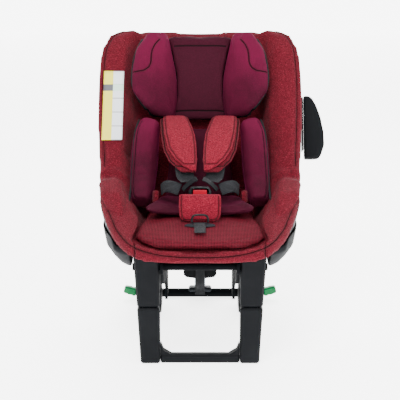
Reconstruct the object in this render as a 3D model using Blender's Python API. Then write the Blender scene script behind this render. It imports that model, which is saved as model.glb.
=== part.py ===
"""A convertible child car seat: a reclining bucket seat on a base with a folding support frame.

Metres, +Z up. The seat faces -Y. The origin is the middle of the foot bar's underside,
on the plane that the seat stands on.
"""

import math

import bmesh
import bpy
from mathutils import Matrix, Vector

# ---------------------------------------------------------------- driving dimensions

TOUCH = 0.0004  # gap between pieces that rest on each other
RUNNING = 0.0012  # gap between pieces that slide on each other

# Support frame: two legs joined by a foot bar, hinged at the front of the base.
PIVOT_Y = 0.0
PIVOT_Z = 0.208
PIVOT_ROD_R = 0.0075
LEG_INNER_X = 0.0828
LEG_FOOT_OUTER_X = 0.1235
LEG_JOINT_OUTER_X = 0.1300
LEG_TOP_OUTER_X = 0.1362
LEG_TOP_Z = 0.232
LEG_JOINT_Z = 0.1225
LEG_DEPTH = 0.028
LEG_WALL = 0.004
FOOT_BAR_HEIGHT = 0.019
FOOT_BAR_DEPTH = 0.020
LEG_TRAVEL = 0.080
TUBE_WIDTH = 0.030
TUBE_DEPTH = 0.017
TUBE_TOP_Z = 0.190

# Base: two side plates with a guide rail outside each, and a housing for each anchor arm.
PLATE_THICKNESS = 0.006
RAIL_INNER_X = 0.0905
RAIL_OUTER_X = 0.1385
FOLD_LINE_SLOPE = 0.5774  # underside of the rails, which the folded legs lie along
FOLD_LINE_START_Z = 0.2315
HOUSING_FRONT_Y = 0.302
HOUSING_REAR_Y = 0.376
HOUSING_TOP_Z = 0.118

# Recline: the seat turns about a line through this point, on an arc of this radius.
RECLINE_Y = 0.160
RECLINE_Z = 0.620
SHELL_ARC_R = 0.4050
RAIL_ARC_R = 0.4085

# Anchor arms, their cross bar and the connectors, which slide out of the base together.
ARM_X = 0.1230
ARM_SIZE = 0.022
ARM_BASE_Z = 0.006
ARM_FRONT_Y = 0.272
CONNECTOR_X = 0.140
CONNECTOR_WIDTH = 0.024
CONNECTOR_HEIGHT = 0.036
CONNECTOR_FRONT_Y = 0.384
CONNECTOR_REAR_Y = 0.474
CROSS_BAR_Y = 0.420
CROSS_BAR_R = 0.0105
JAW_SLOT = 0.012
JAW_DEPTH = 0.026
JAW_Z = 0.018
RELEASE_TAB_Y = 0.402
RELEASE_TAB_Z = 0.021
RELEASE_TAB_TILT = math.radians(15)

# Bucket seat: stations from the front lip, under the seat, and up the back.
# Each station is outer floor (y, z), inner floor (y, z), rim (y, z), then the widths of the
# outer floor, the inner floor, the rim outside and the rim inside as shares of the seat's width,
# and the plan bow.
SEAT_WIDTH = 0.468
BACK_LENGTH = 0.300  # from BACK_FOOT to the top of the back
STATIONS = (
    ((-0.036, 0.2370), (-0.038, 0.2460), (-0.042, 0.262), 0.521, 0.444, 0.641, 0.547, 0.050),
    ((0.000, 0.2375), (0.000, 0.2500), (-0.005, 0.276), 0.684, 0.603, 0.782, 0.675, 0.034),
    ((0.050, 0.2335), (0.050, 0.2505), (0.045, 0.304), 0.756, 0.590, 0.872, 0.701, 0.016),
    ((0.100, 0.2245), (0.100, 0.2495), (0.100, 0.338), 0.799, 0.556, 0.927, 0.714, 0.004),
    ((0.150, 0.2185), (0.150, 0.2480), (0.150, 0.356), 0.812, 0.538, 0.947, 0.722, 0.0),
    ((0.200, 0.2195), (0.200, 0.2480), (0.195, 0.357), 0.812, 0.530, 0.951, 0.731, 0.0),
    ((0.260, 0.2305), (0.250, 0.2540), (0.225, 0.372), 0.803, 0.530, 0.955, 0.735, 0.0),
    ((0.315, 0.2510), (0.290, 0.2760), (0.262, 0.412), 0.786, 0.547, 0.972, 0.735, 0.0),
    ((0.357, 0.2950), (0.325, 0.3160), (0.300, 0.460), 0.778, 0.573, 0.989, 0.735, 0.0),
    ((0.387, 0.3500), (0.352, 0.3620), (0.332, 0.502), 0.782, 0.585, 0.998, 0.735, 0.0),
    ((0.425, 0.4470), (0.390, 0.4560), (0.375, 0.560), 0.795, 0.585, 1.000, 0.735, 0.0),
    ((0.460, 0.5370), (0.425, 0.5430), (0.412, 0.610), 0.795, 0.585, 0.979, 0.726, 0.0),
    ((0.484, 0.5980), (0.449, 0.6020), (0.438, 0.637), 0.752, 0.585, 0.910, 0.709, 0.0),
    ((0.494, 0.6210), (0.461, 0.6240), (0.457, 0.646), 0.662, 0.547, 0.803, 0.650, 0.0),
)
SHELL_WALL = 0.004
LINER_WALL = 0.012
LINER_START_Y = 0.075  # the foam starts behind the thigh rest
FLOOR_DIP = 0.0012  # the bucket's middle, below its sides
COVER_EASE = 0.20 * LINER_WALL  # slack between the liner and the cover
SHELL_SHARE = 0.72  # share of the side wall's height that the plastic shell covers
LIP_REACH = 0.010
LIP_DROP = 0.0175
LIP_DROP_HALF = 0.150  # the lip stops dropping outside the legs
CHEEK_INNER_X = 0.1470
CHEEK_DEPTH = 0.052

# Backrest frame: a line up the inner back, and its forward normal.
BACK_FOOT = Vector((0.0, 0.352, 0.362))
BACK_TOP = Vector((0.0, 0.449, 0.602))

HEADREST_BOTTOM = 0.086  # along the back line, from BACK_FOOT
HEADREST_LENGTH = 0.190
HEADREST_TRAVEL = 0.120

WEBBING_WIDTH = 0.038
WEBBING = 0.0016

COLOURS = {
    "melange_fabric": ((0.24, 0.025, 0.04), 0.95, 0.0),
    "mesh_fabric": ((0.18, 0.016, 0.032), 0.95, 0.0),
    "insert_fabric": ((0.13, 0.010, 0.045), 0.9, 0.0),
    "black_plastic": ((0.028, 0.030, 0.034), 0.45, 0.0),
    "grey_plastic": ((0.055, 0.060, 0.068), 0.5, 0.0),
    "webbing": ((0.035, 0.037, 0.042), 0.85, 0.0),
    "green_plastic": ((0.0, 0.23, 0.09), 0.35, 0.0),
    "red_plastic": ((0.55, 0.01, 0.03), 0.35, 0.0),
    "zinc_steel": ((0.62, 0.66, 0.70), 0.3, 1.0),
    "black_steel": ((0.02, 0.021, 0.024), 0.4, 0.3),
    "foam": ((0.78, 0.78, 0.76), 0.9, 0.0),
    "rubber": ((0.02, 0.02, 0.02), 0.9, 0.0),
    "label_cloth": ((0.85, 0.83, 0.60), 0.8, 0.0),
}


# ---------------------------------------------------------------- helpers


def clear_scene():
    for old in list(bpy.data.objects):
        bpy.data.objects.remove(old)


def material(name):
    made = bpy.data.materials.get(name)
    if made is None:
        colour, roughness, metallic = COLOURS[name]
        made = bpy.data.materials.new(name)
        made.use_nodes = True
        shader = made.node_tree.nodes["Principled BSDF"]
        shader.inputs["Base Color"].default_value = (*colour, 1.0)
        shader.inputs["Roughness"].default_value = roughness
        shader.inputs["Metallic"].default_value = metallic
    return made


def assembly(name, pivot, parent=None):
    """An empty on a joint's axis, which a moving group of pieces is parented to."""
    empty = bpy.data.objects.new(name, None)
    bpy.context.scene.collection.objects.link(empty)
    empty.parent = parent
    empty["pivot"] = tuple(pivot)
    base = Vector(parent["pivot"]) if parent else Vector()
    empty.location = Vector(pivot) - base
    return empty


def add(name, mesh_data, finish, group, bevel=0.0, smooth_angle=35.0):
    """Makes one named piece from a bmesh, with its origin on its group's axis."""
    bmesh.ops.remove_doubles(mesh_data, verts=mesh_data.verts, dist=1e-6)
    bmesh.ops.recalc_face_normals(mesh_data, faces=mesh_data.faces)
    mesh = bpy.data.meshes.new(name)
    mesh_data.to_mesh(mesh)
    mesh_data.free()
    mesh.transform(Matrix.Translation(-Vector(group["pivot"])))
    mesh.shade_smooth()
    mesh.set_sharp_from_angle(angle=math.radians(smooth_angle))
    piece = bpy.data.objects.new(name, mesh)
    bpy.context.scene.collection.objects.link(piece)
    mesh.materials.append(material(finish))
    piece.parent = group
    if bevel:
        rounding = piece.modifiers.new("rounding", "BEVEL")
        rounding.width = bevel
        rounding.segments = 1
        rounding.limit_method = "ANGLE"
        rounding.angle_limit = math.radians(50)
    return piece


def cut(piece, cutter_mesh, label):
    """Takes a bmesh cutter out of a piece with an exact Boolean."""
    bmesh.ops.recalc_face_normals(cutter_mesh, faces=cutter_mesh.faces)
    mesh = bpy.data.meshes.new(label)
    cutter_mesh.to_mesh(mesh)
    cutter_mesh.free()
    mesh.transform(Matrix.Translation(-Vector(piece.parent["pivot"])))
    cutter = bpy.data.objects.new(label, mesh)
    bpy.context.scene.collection.objects.link(cutter)
    cutter.parent = piece.parent
    cutter.hide_render = True
    cutter.display_type = "WIRE"
    boolean = piece.modifiers.new(label, "BOOLEAN")
    boolean.operation = "DIFFERENCE"
    boolean.object = cutter
    return cutter


def loft(rings, split=False, bent_ends=False):
    """A closed solid through rings of the same number of points.

    Nested skins are split into triangles along the same diagonals, so the gap between them holds.
    Ends are flat, or with bent_ends are strips between a U section's outer and inner paths.
    """
    made = bmesh.new()
    rows = [[made.verts.new(p) for p in ring] for ring in rings]
    count = len(rows[0])
    for low, high in zip(rows, rows[1:]):
        for i in range(count):
            j = (i + 1) % count
            if not split:
                made.faces.new((low[i], low[j], high[j], high[i]))
            elif abs(low[i].co.x) <= abs(low[j].co.x):
                made.faces.new((low[i], low[j], high[j]))
                made.faces.new((low[i], high[j], high[i]))
            else:
                made.faces.new((low[i], low[j], high[i]))
                made.faces.new((low[j], high[j], high[i]))
    if bent_ends:
        for i in range(count // 2 - 1):
            k = count - 1 - i
            made.faces.new((rows[0][i + 1], rows[0][i], rows[0][k], rows[0][k - 1]))
            made.faces.new((rows[-1][i], rows[-1][i + 1], rows[-1][k - 1], rows[-1][k]))
    else:
        made.faces.new(rows[0][::-1])
        made.faces.new(rows[-1])
    return made


def block(low, high):
    x0, y0, z0 = low
    x1, y1, z1 = high
    ring = [(x0, y0), (x1, y0), (x1, y1), (x0, y1)]
    return loft([[(x, y, z) for x, y in ring] for z in (z0, z1)])


def side_plate(outline, x0, x1):
    """A plate with this outline of (y, z), from x0 to x1."""
    return loft([[(x, y, z) for y, z in outline] for x in (x0, x1)])


def arc(centre, radius, start, end, steps):
    """Points (y, z) on an arc. Angles are in degrees from straight down, positive to the rear."""
    points = []
    for i in range(steps + 1):
        turn = math.radians(start + (end - start) * i / steps)
        points.append((centre[0] + radius * math.sin(turn), centre[1] - radius * math.cos(turn)))
    return points


def rod(start, end, radius, sides=12, bore=0.0):
    """A round bar between two points, or a tube where it has a bore."""
    start, end = Vector(start), Vector(end)
    turn = (end - start).to_track_quat("Z", "Y")

    def circle(centre, r):
        angles = [2 * math.pi * i / sides for i in range(sides)]
        return [centre + turn @ Vector((r * math.cos(a), r * math.sin(a), 0)) for a in angles]

    if not bore:
        return loft([circle(start, radius), circle(end, radius)])
    made = bmesh.new()
    rows = [circle(start, bore), circle(start, radius), circle(end, radius), circle(end, bore)]
    rings = [[made.verts.new(p) for p in row] for row in rows]
    for k in range(4):
        low, high = rings[k], rings[(k + 1) % 4]
        for i in range(sides):
            j = (i + 1) % sides
            made.faces.new((low[i], low[j], high[j], high[i]))
    return made


def smooth_path(points, steps):
    """A smooth curve through the points, with this many pieces between each two."""
    points = [Vector(p) for p in points]
    ends = [2 * points[0] - points[1], *points, 2 * points[-1] - points[-2]]
    made = []
    for a, b, c, d in zip(ends, ends[1:], ends[2:], ends[3:]):
        for i in range(steps):
            t = i / steps
            made.append(
                0.5 * (2 * b + (c - a) * t + (2 * a - 5 * b + 4 * c - d) * t**2
                       + (3 * b - a - 3 * c + d) * t**3)
            )
    return [*made, points[-1]]


def strap(points, across, width, thickness=WEBBING, steps=3, widths=None):
    """A flat strap along a path. `across` is the direction of its width."""
    path = smooth_path(points, steps)
    across = Vector(across).normalized()
    rings = []
    for i, here in enumerate(path):
        along = (path[min(i + 1, len(path) - 1)] - path[max(i - 1, 0)]).normalized()
        side = (across - along * across.dot(along)).normalized()
        up = side.cross(along).normalized() * thickness / 2
        share = i / (len(path) - 1)
        half = (width if widths is None else widths(share)) / 2
        rings.append([here - side * half - up, here + side * half - up,
                      here + side * half + up, here - side * half + up])
    return loft(rings)


def pad(path, half_width, thickness, across=(1, 0, 0), steps=2, sides=8):
    """A soft pad along a path. half_width and thickness are functions of the share of its length."""
    points = smooth_path(path, steps)
    across = Vector(across).normalized()
    rings = []
    for i, here in enumerate(points):
        along = (points[min(i + 1, len(points) - 1)] - points[max(i - 1, 0)]).normalized()
        side = (across - along * across.dot(along)).normalized()
        up = side.cross(along).normalized()
        share = i / (len(points) - 1)
        ring = []
        for k in range(sides):
            angle = 2 * math.pi * (k + 0.5) / sides
            c, s = math.cos(angle), math.sin(angle)
            x = math.copysign(abs(c) ** 0.5, c) * half_width(share)
            h = math.copysign(abs(s) ** 0.7, s) * thickness(share) / 2
            ring.append(here + side * x + up * h)
        rings.append(ring)
    return loft(rings)


def rounded(share, full, end=0.55):
    """A width that is full in the middle and narrows to `end` of it at both ends."""
    return full * (end + (1 - end) * math.sin(math.pi * min(max(share, 0.0), 1.0)) ** 0.5)


def mirrored(side):
    """Maps a list of right-hand points to this side, +1 for right and -1 for left."""
    return lambda points: [(side * p[0], p[1], p[2]) for p in points]


SIDES = (("left", -1), ("right", 1))


# ---------------------------------------------------------------- support frame


def leg_outer_x(z):
    """The leg's outer face, which leans out towards the top."""
    if z <= LEG_JOINT_Z:
        share = z / LEG_JOINT_Z
        return LEG_FOOT_OUTER_X + (LEG_JOINT_OUTER_X - LEG_FOOT_OUTER_X) * share
    share = (z - LEG_JOINT_Z) / (LEG_TOP_Z - LEG_JOINT_Z)
    return LEG_JOINT_OUTER_X - 0.0006 + (LEG_TOP_OUTER_X - LEG_JOINT_OUTER_X + 0.0006) * share


def leg_block(side, low, high, inset=0.0, depth=LEG_DEPTH):
    """A tapering length of leg between two heights."""
    rings = []
    for z in (low, high):
        inner = side * (LEG_INNER_X + inset)
        outer = side * (leg_outer_x(z) - inset)
        half = depth / 2 - inset
        rings.append([(inner, -half, z), (outer, -half, z), (outer, half, z), (inner, half, z)])
    return loft(rings)


def tube_centre_x():
    return (LEG_INNER_X + LEG_FOOT_OUTER_X) / 2


def support_frame(fold, slide):
    centre = tube_centre_x()
    half_tube = TUBE_WIDTH / 2
    fit = RUNNING
    for word, side in SIDES:
        upper = add(f"leg_sleeve_{word}", leg_block(side, LEG_JOINT_Z + RUNNING, LEG_TOP_Z),
                    "black_plastic", fold, bevel=0.004)
        bore = block(
            (side * centre - half_tube - fit, -TUBE_DEPTH / 2 - fit, LEG_JOINT_Z - 0.02),
            (side * centre + half_tube + fit, TUBE_DEPTH / 2 + fit, TUBE_TOP_Z + fit),
        )
        cut(upper, bore, f"cut_tube_{word}")
        shaft_hole = rod((side * 0.05, PIVOT_Y, PIVOT_Z), (side * 0.16, PIVOT_Y, PIVOT_Z),
                         PIVOT_ROD_R + 0.0005, sides=16)
        cut(upper, shaft_hole, f"cut_pivot_{word}")

        lower = add(f"leg_shoe_{word}", leg_block(side, 0.0, LEG_JOINT_Z),
                    "black_plastic", slide, bevel=0.004)
        socket = block(
            (side * centre - half_tube - TOUCH, -TUBE_DEPTH / 2 - TOUCH, 0.030 - TOUCH),
            (side * centre + half_tube + TOUCH, TUBE_DEPTH / 2 + TOUCH, LEG_JOINT_Z + 0.01),
        )
        cut(lower, socket, f"cut_socket_{word}")
        add(f"leg_tube_{word}",
            block((side * centre - half_tube, -TUBE_DEPTH / 2, 0.030),
                  (side * centre + half_tube, TUBE_DEPTH / 2, TUBE_TOP_Z)),
            "zinc_steel", slide)
    half = FOOT_BAR_DEPTH / 2
    inner = LEG_INNER_X - TOUCH
    add("foot_bar", block((-inner, -half, 0.0), (inner, half, FOOT_BAR_HEIGHT)),
              "black_steel", slide, bevel=0.003)


# ---------------------------------------------------------------- base


def fold_line(y):
    """Height of the rails' underside, clear of the folded legs."""
    return FOLD_LINE_START_Z - FOLD_LINE_SLOPE * y


def base(root):
    centre = (RECLINE_Y, RECLINE_Z)
    top = arc(centre, RAIL_ARC_R, -17.5, 21.5, 9)
    deep_y = HOUSING_FRONT_Y
    plate_inner = LEG_INNER_X - 0.0012 - PLATE_THICKNESS
    for word, side in SIDES:
        rail = [*top, (0.340, 0.200), (HOUSING_REAR_Y, HOUSING_TOP_Z), (HOUSING_REAR_Y, 0.0),
                (deep_y, 0.0), (deep_y, fold_line(deep_y)), (0.038, fold_line(0.038))]
        inner, outer = side * RAIL_INNER_X, side * RAIL_OUTER_X
        body = add(f"guide_rail_{word}", side_plate(rail, inner, outer), "black_plastic", root,
                   bevel=0.002)
        half = ARM_SIZE / 2 + RUNNING / 2
        channel = block((side * ARM_X - half, HOUSING_FRONT_Y - 0.02, ARM_BASE_Z - RUNNING / 2),
                        (side * ARM_X + half, HOUSING_REAR_Y + 0.02,
                         ARM_BASE_Z + ARM_SIZE + RUNNING / 2))
        cut(body, channel, f"cut_arm_{word}")
        nose = arc((PIVOT_Y, PIVOT_Z), 0.017, -150, 20, 8)
        plate = [*nose, (0.035, 0.160), (0.125, 0.130), (0.150, 0.146),
                 (0.160, fold_line(0.160) + 0.004), (deep_y - 0.006, fold_line(deep_y - 0.006) + 0.004),
                 (deep_y - 0.006, 0.036), (0.362, 0.036), (0.362, 0.150), (0.330, 0.205),
                 *arc(centre, RAIL_ARC_R, 20.0, -17.5, 8)]
        bracket = add(f"side_plate_{word}",
                      side_plate(plate, side * plate_inner, side * (plate_inner + PLATE_THICKNESS)),
                      "black_steel", root)
        hole = rod((side * 0.05, PIVOT_Y, PIVOT_Z), (side * 0.10, PIVOT_Y, PIVOT_Z),
                   PIVOT_ROD_R + TOUCH, sides=16)
        cut(bracket, hole, f"cut_bracket_{word}")
        span_hole = rod((side * 0.05, TIE_Y, TIE_Z), (side * 0.10, TIE_Y, TIE_Z), TIE_R + TOUCH,
                        sides=16)
        cut(bracket, span_hole, f"cut_tie_{word}")
    add("pivot_rod", rod((-0.1385, PIVOT_Y, PIVOT_Z), (0.1385, PIVOT_Y, PIVOT_Z), PIVOT_ROD_R, 16),
        "zinc_steel", root)
    add("tie_rod", rod((-0.0835, TIE_Y, TIE_Z), (0.0835, TIE_Y, TIE_Z), TIE_R, 16), "zinc_steel",
        root)


TIE_Y = 0.262
TIE_Z = 0.1900
TIE_R = 0.008


# ---------------------------------------------------------------- anchor arms


def anchor_arms(arms):
    for word, side in SIDES:
        half = ARM_SIZE / 2
        add(f"anchor_arm_{word}",
            block((side * ARM_X - half, ARM_FRONT_Y, ARM_BASE_Z),
                  (side * ARM_X + half, CONNECTOR_FRONT_Y - TOUCH, ARM_BASE_Z + ARM_SIZE)),
            "zinc_steel", arms)
        half = CONNECTOR_WIDTH / 2
        connector = add(f"connector_{word}",
                        block((side * CONNECTOR_X - half, CONNECTOR_FRONT_Y, 0),
                              (side * CONNECTOR_X + half, CONNECTOR_REAR_Y, CONNECTOR_HEIGHT)),
                        "grey_plastic", arms, bevel=0.003)
        jaw = block((side * CONNECTOR_X - 0.03, CONNECTOR_REAR_Y - JAW_DEPTH, JAW_Z - JAW_SLOT / 2),
                    (side * CONNECTOR_X + 0.03, CONNECTOR_REAR_Y + 0.01, JAW_Z + JAW_SLOT / 2))
        cut(connector, jaw, f"cut_jaw_{word}")
        tab_group = assembly(f"release_tab_{word}_axis",
                             (side * (CONNECTOR_X + half), RELEASE_TAB_Y, RELEASE_TAB_Z), arms)
        add(f"release_tab_{word}", release_tab(side), "green_plastic", tab_group, bevel=0.0025)
    rail = CONNECTOR_X - CONNECTOR_WIDTH / 2 - TOUCH
    add("cross_bar", rod((-rail, CROSS_BAR_Y, CROSS_BAR_R), (rail, CROSS_BAR_Y, CROSS_BAR_R),
                         CROSS_BAR_R, 16), "black_steel", arms)
    saddle = add("bar_saddle", block((-0.028, CROSS_BAR_Y - 0.013, CROSS_BAR_R + 0.004),
                                     (0.028, CROSS_BAR_Y + 0.013, 0.0265)),
                 "grey_plastic", arms, bevel=0.004)
    cut(saddle, rod((-0.04, CROSS_BAR_Y, CROSS_BAR_R), (0.04, CROSS_BAR_Y, CROSS_BAR_R),
                    CROSS_BAR_R + TOUCH, 16), "cut_saddle")
    post_top = 0.052
    add("lock_post", rod((0, CROSS_BAR_Y, 0.0265 + TOUCH), (0, CROSS_BAR_Y, post_top - TOUCH),
                         0.0135, 16), "zinc_steel", arms)
    outline = [(-0.040, 0.150), (-0.040, 0.062), (-0.034, 0.055), (-0.012, post_top),
               (0.012, post_top), (0.034, 0.055), (0.040, 0.062), (0.040, 0.150)]
    rings = [[(x, CROSS_BAR_Y + y, z) for x, z in outline] for y in (-0.020, 0.016)]
    add("lock_housing", loft(rings), "black_plastic", arms, bevel=0.003)
    front = CROSS_BAR_Y - 0.020
    strap_path = [(0.0, CROSS_BAR_Y - 0.0135, 0.0100), (0.0, CROSS_BAR_Y - 0.0150, 0.024),
                  (0.0, front - 0.005, 0.044), (0.0, front - 0.0045, 0.080),
                  (-0.003, front - 0.004, 0.110), (-0.004, front - 0.003, 0.140)]
    add("release_strap",
        strap(strap_path, (1, 0, 0), 0.022, widths=lambda t: 0.024 if t < 0.5 else
              0.024 - 0.018 * (t - 0.5) / 0.5), "webbing", arms)


def release_tab(side):
    """A ribbed green paddle on the connector's outer side, tilted up towards its outer end."""
    inner = CONNECTOR_WIDTH / 2 + RUNNING
    ribs = [(inner, 0.0085), (inner + 0.006, 0.0100), (inner + 0.012, 0.0090),
            (inner + 0.018, 0.0098), (inner + 0.024, 0.0090), (inner + 0.032, 0.0082)]
    cos_t, sin_t = math.cos(RELEASE_TAB_TILT), math.sin(RELEASE_TAB_TILT)
    rings = []
    for reach, half in ribs:
        along = reach - inner
        x = CONNECTOR_X + inner + along * cos_t
        z = RELEASE_TAB_Z - 0.003 + along * sin_t
        depth = 0.008 + (half - 0.008) * 0.5
        ring = [(x + half * sin_t, -depth, z - half * cos_t), (x + half * sin_t, depth, z - half * cos_t),
                (x - half * sin_t, depth, z + half * cos_t), (x - half * sin_t, -depth, z + half * cos_t)]
        rings.append([(side * max(px, CONNECTOR_X + inner), RELEASE_TAB_Y + py, pz)
                      for px, py, pz in ring])
    return loft(rings)


# ---------------------------------------------------------------- bucket seat


def raised(point):
    """Moves a point above BACK_FOOT up the back, to suit the back's length."""
    _, up, _ = back_frame()
    along = (Vector((0, *point)) - BACK_FOOT).dot(up)
    added = max(along, 0.0) * (BACK_LENGTH / 0.300 - 1)
    return (point[0] + up.y * added, point[1] + up.z * added)


def wide(x):
    """Scales a distance across the seat, given for a seat 0.468 wide."""
    return x * SEAT_WIDTH / 0.468


def blend_stations(steps):
    """The stations, with more between them on smooth curves."""
    columns = []
    for k in range(8):
        if k < 3:
            values = [raised(s[k]) for s in STATIONS]
        else:
            scale = SEAT_WIDTH / 2 if k < 7 else 1.0
            values = [(s[k] * scale, 0.0) for s in STATIONS]
        columns.append(smooth_path([(v[0], v[1], 0.0) for v in values], steps))
    made = []
    for row in zip(*columns):
        floor, inner, rim = (Vector((0, p.x, p.y)) for p in row[:3])
        made.append((floor, inner, rim, *(p.x for p in row[3:])))
    return made


def wall_x(share, floor_half, rim_half):
    """Half width of the bucket's side at a share of the wall's height."""
    return floor_half + (rim_half - floor_half) * min(max(share, 0.0), 1.0) ** 0.7


def bowed(x, point, bow):
    """Moves a point back by the plan bow, which grows towards the corners. The middle dips a little."""
    dip = (FLOOR_DIP + 0.0006 * math.sin(12 * point.y)) * max(0.0, 1 - abs(x) / 0.06)
    return (x, point.y + bow * (x / 0.15) ** 2, point.z - dip)


def section(station, outer_side, outer_floor, inner_side, inner_floor, top):
    """A ring round a U section, as side and floor insets from the outer surface."""
    floor, _, rim, floor_half, _, rim_half, _, bow = station
    up = rim - floor
    height = up.length
    half = []
    for side_inset, floor_inset in ((outer_side, outer_floor), (inner_side, inner_floor)):
        rise = floor_inset / height
        path = [(0.0, rise), (0.60 * floor_half, rise)]
        for share in (0.03, 0.22, 0.45, 1.0):
            level = rise + (SHELL_SHARE - rise) * share
            path.append((wall_x(level, floor_half, rim_half) - side_inset, level))
        path[2] = (floor_half - side_inset - 0.006, path[2][1])
        (x0, level0), (x1, level1) = path[-2:]
        share = (top - level0) / (level1 - level0)
        path[-1] = (x0 + (x1 - x0) * share, top)
        half.append([bowed(x, floor + up * level, bow) for x, level in path])
    return around(half[0], half[1])


def around(outer, inner):
    """A ring: the outer path from the left rim to the right, then the inner path back."""
    flip = mirrored(-1)
    return [*flip(outer[:0:-1]), *outer, *inner[::-1], *flip(inner[1:])]


def cover_section(station):
    """The padded cover: it lines the bucket and wraps the wall's top edge."""
    floor, inner, rim, floor_half, inner_half, rim_half, rim_inner, bow = station
    up = rim - floor
    height = up.length
    gap = SHELL_WALL + TOUCH + COVER_EASE
    if floor.y > LINER_START_Y:
        gap += LINER_WALL + TOUCH
    rise = gap / height
    step = SHELL_SHARE + TOUCH / height + 0.012
    outer = [(0.0, rise), (0.60 * floor_half, rise), (floor_half - gap - 0.008, rise + 0.03)]
    for level in (0.30, step - 0.004):
        outer.append((wall_x(max(level, rise + 0.06), floor_half, rim_half) - gap,
                      max(level, rise + 0.06)))
    outer += [(wall_x(step, floor_half, rim_half), step), (rim_half, 0.94)]
    outer = [bowed(x, floor + up * level, bow) for x, level in outer]
    outer.append(bowed(rim_half - 0.010, rim, bow))
    wall = rim - inner
    path = [(0.0, 0.0), (0.6 * inner_half, 0.0), (0.88 * inner_half, 0.01), (inner_half, 0.05),
            (inner_half + (rim_inner - inner_half) * 0.5, 0.45),
            (inner_half + (rim_inner - inner_half) * 0.8, 0.75), (rim_inner, 0.93),
            (rim_inner + 0.008, 0.985)]
    inner_path = [bowed(x, inner + wall * level, bow) for x, level in path]
    return around(outer, inner_path)


def lip(station):
    """The cover's rounded front, which hangs in front of the shell's front edge."""
    rings = []
    for reach, trim in ((LIP_REACH, 0.007), (LIP_REACH * 0.6, 0.0), (TOUCH, 0.0)):
        ring = cover_section(station)
        half = len(ring) // 2
        moved = []
        for i, (x, y, z) in enumerate(ring):
            outer = i <= half
            drop = LIP_DROP * max(0.0, 1 - (abs(x) / LIP_DROP_HALF) ** 4) if outer else 0.0
            moved.append((x, y - reach, z - drop + (trim if outer else -trim)))
        rings.append(moved)
    return rings


def bucket(seat):
    stations = blend_stations(1)
    add("seat_shell",
        loft([section(s, 0.0, 0.0, SHELL_WALL, SHELL_WALL, SHELL_SHARE) for s in stations], True, True),
        "black_plastic", seat)
    outer = SHELL_WALL + TOUCH
    add("impact_liner",
        loft([section(s, outer, outer, outer + LINER_WALL, outer + LINER_WALL, SHELL_SHARE - 0.03)
              for s in stations[:-2] if s[0].y > LINER_START_Y], True, True),
        "foam", seat)
    rings = [*lip(stations[0]), *(cover_section(s) for s in stations)]
    add("shell_cover", loft(rings, True, True), "melange_fabric", seat)
    for word, side in SIDES:
        add(f"side_cheek_{word}", cheek(side, blend_stations(2)), "black_plastic", seat)


def cheek(side, stations):
    """The plastic side cover that hangs below the bucket, outside the base's rails."""
    chosen = stations[3:14]
    rings = []
    for i, s in enumerate(chosen):
        floor, _, rim, floor_half, _, rim_half, _, bow = s
        up = rim - floor
        height = up.length
        drop = CHEEK_DEPTH * math.sin(math.pi * (i + 0.6) / (len(chosen) + 0.2)) ** 0.6
        gap = 0.0012
        top_level = 0.36
        outer_top = wall_x(top_level, floor_half, rim_half) + gap + 0.0008
        outline = [
            (CHEEK_INNER_X, -gap - 0.001),
            (floor_half - 0.012 + gap, -gap + 0.0005),
            (floor_half + gap + 0.003, 0.02 * height),
            (wall_x(0.16, floor_half, rim_half) + gap + 0.0015, 0.16 * height),
            (outer_top, top_level * height),
            (outer_top + 0.003, top_level * height),
            (wall_x(0.14, floor_half, rim_half) + 0.004, 0.04 * height - 0.006),
            (CHEEK_INNER_X + 0.036, -0.50 * drop),
            (CHEEK_INNER_X + 0.020, -0.85 * drop),
            (CHEEK_INNER_X + 0.006, -drop),
            (CHEEK_INNER_X, -drop),
        ]
        direction = up / height
        rings.append([(side * x, *bowed(x, floor + direction * d, bow)[1:]) for x, d in outline])
    return loft(rings)


# ---------------------------------------------------------------- cushions and insert


def cushion_ring(y, half, low, high, crown=0.006):
    """A cross section of a cushion that rests on the cover's floor."""
    outline = [(-half, low), (half, low), (half + 0.002, (low + high) / 2), (half - 0.008, high - 0.003),
               (half * 0.5, high + crown * 0.6), (0, high + crown), (-half * 0.5, high + crown * 0.6),
               (-half + 0.008, high - 0.003), (-half - 0.002, (low + high) / 2)]
    return [(x, y, z) for x, z in outline]


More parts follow.
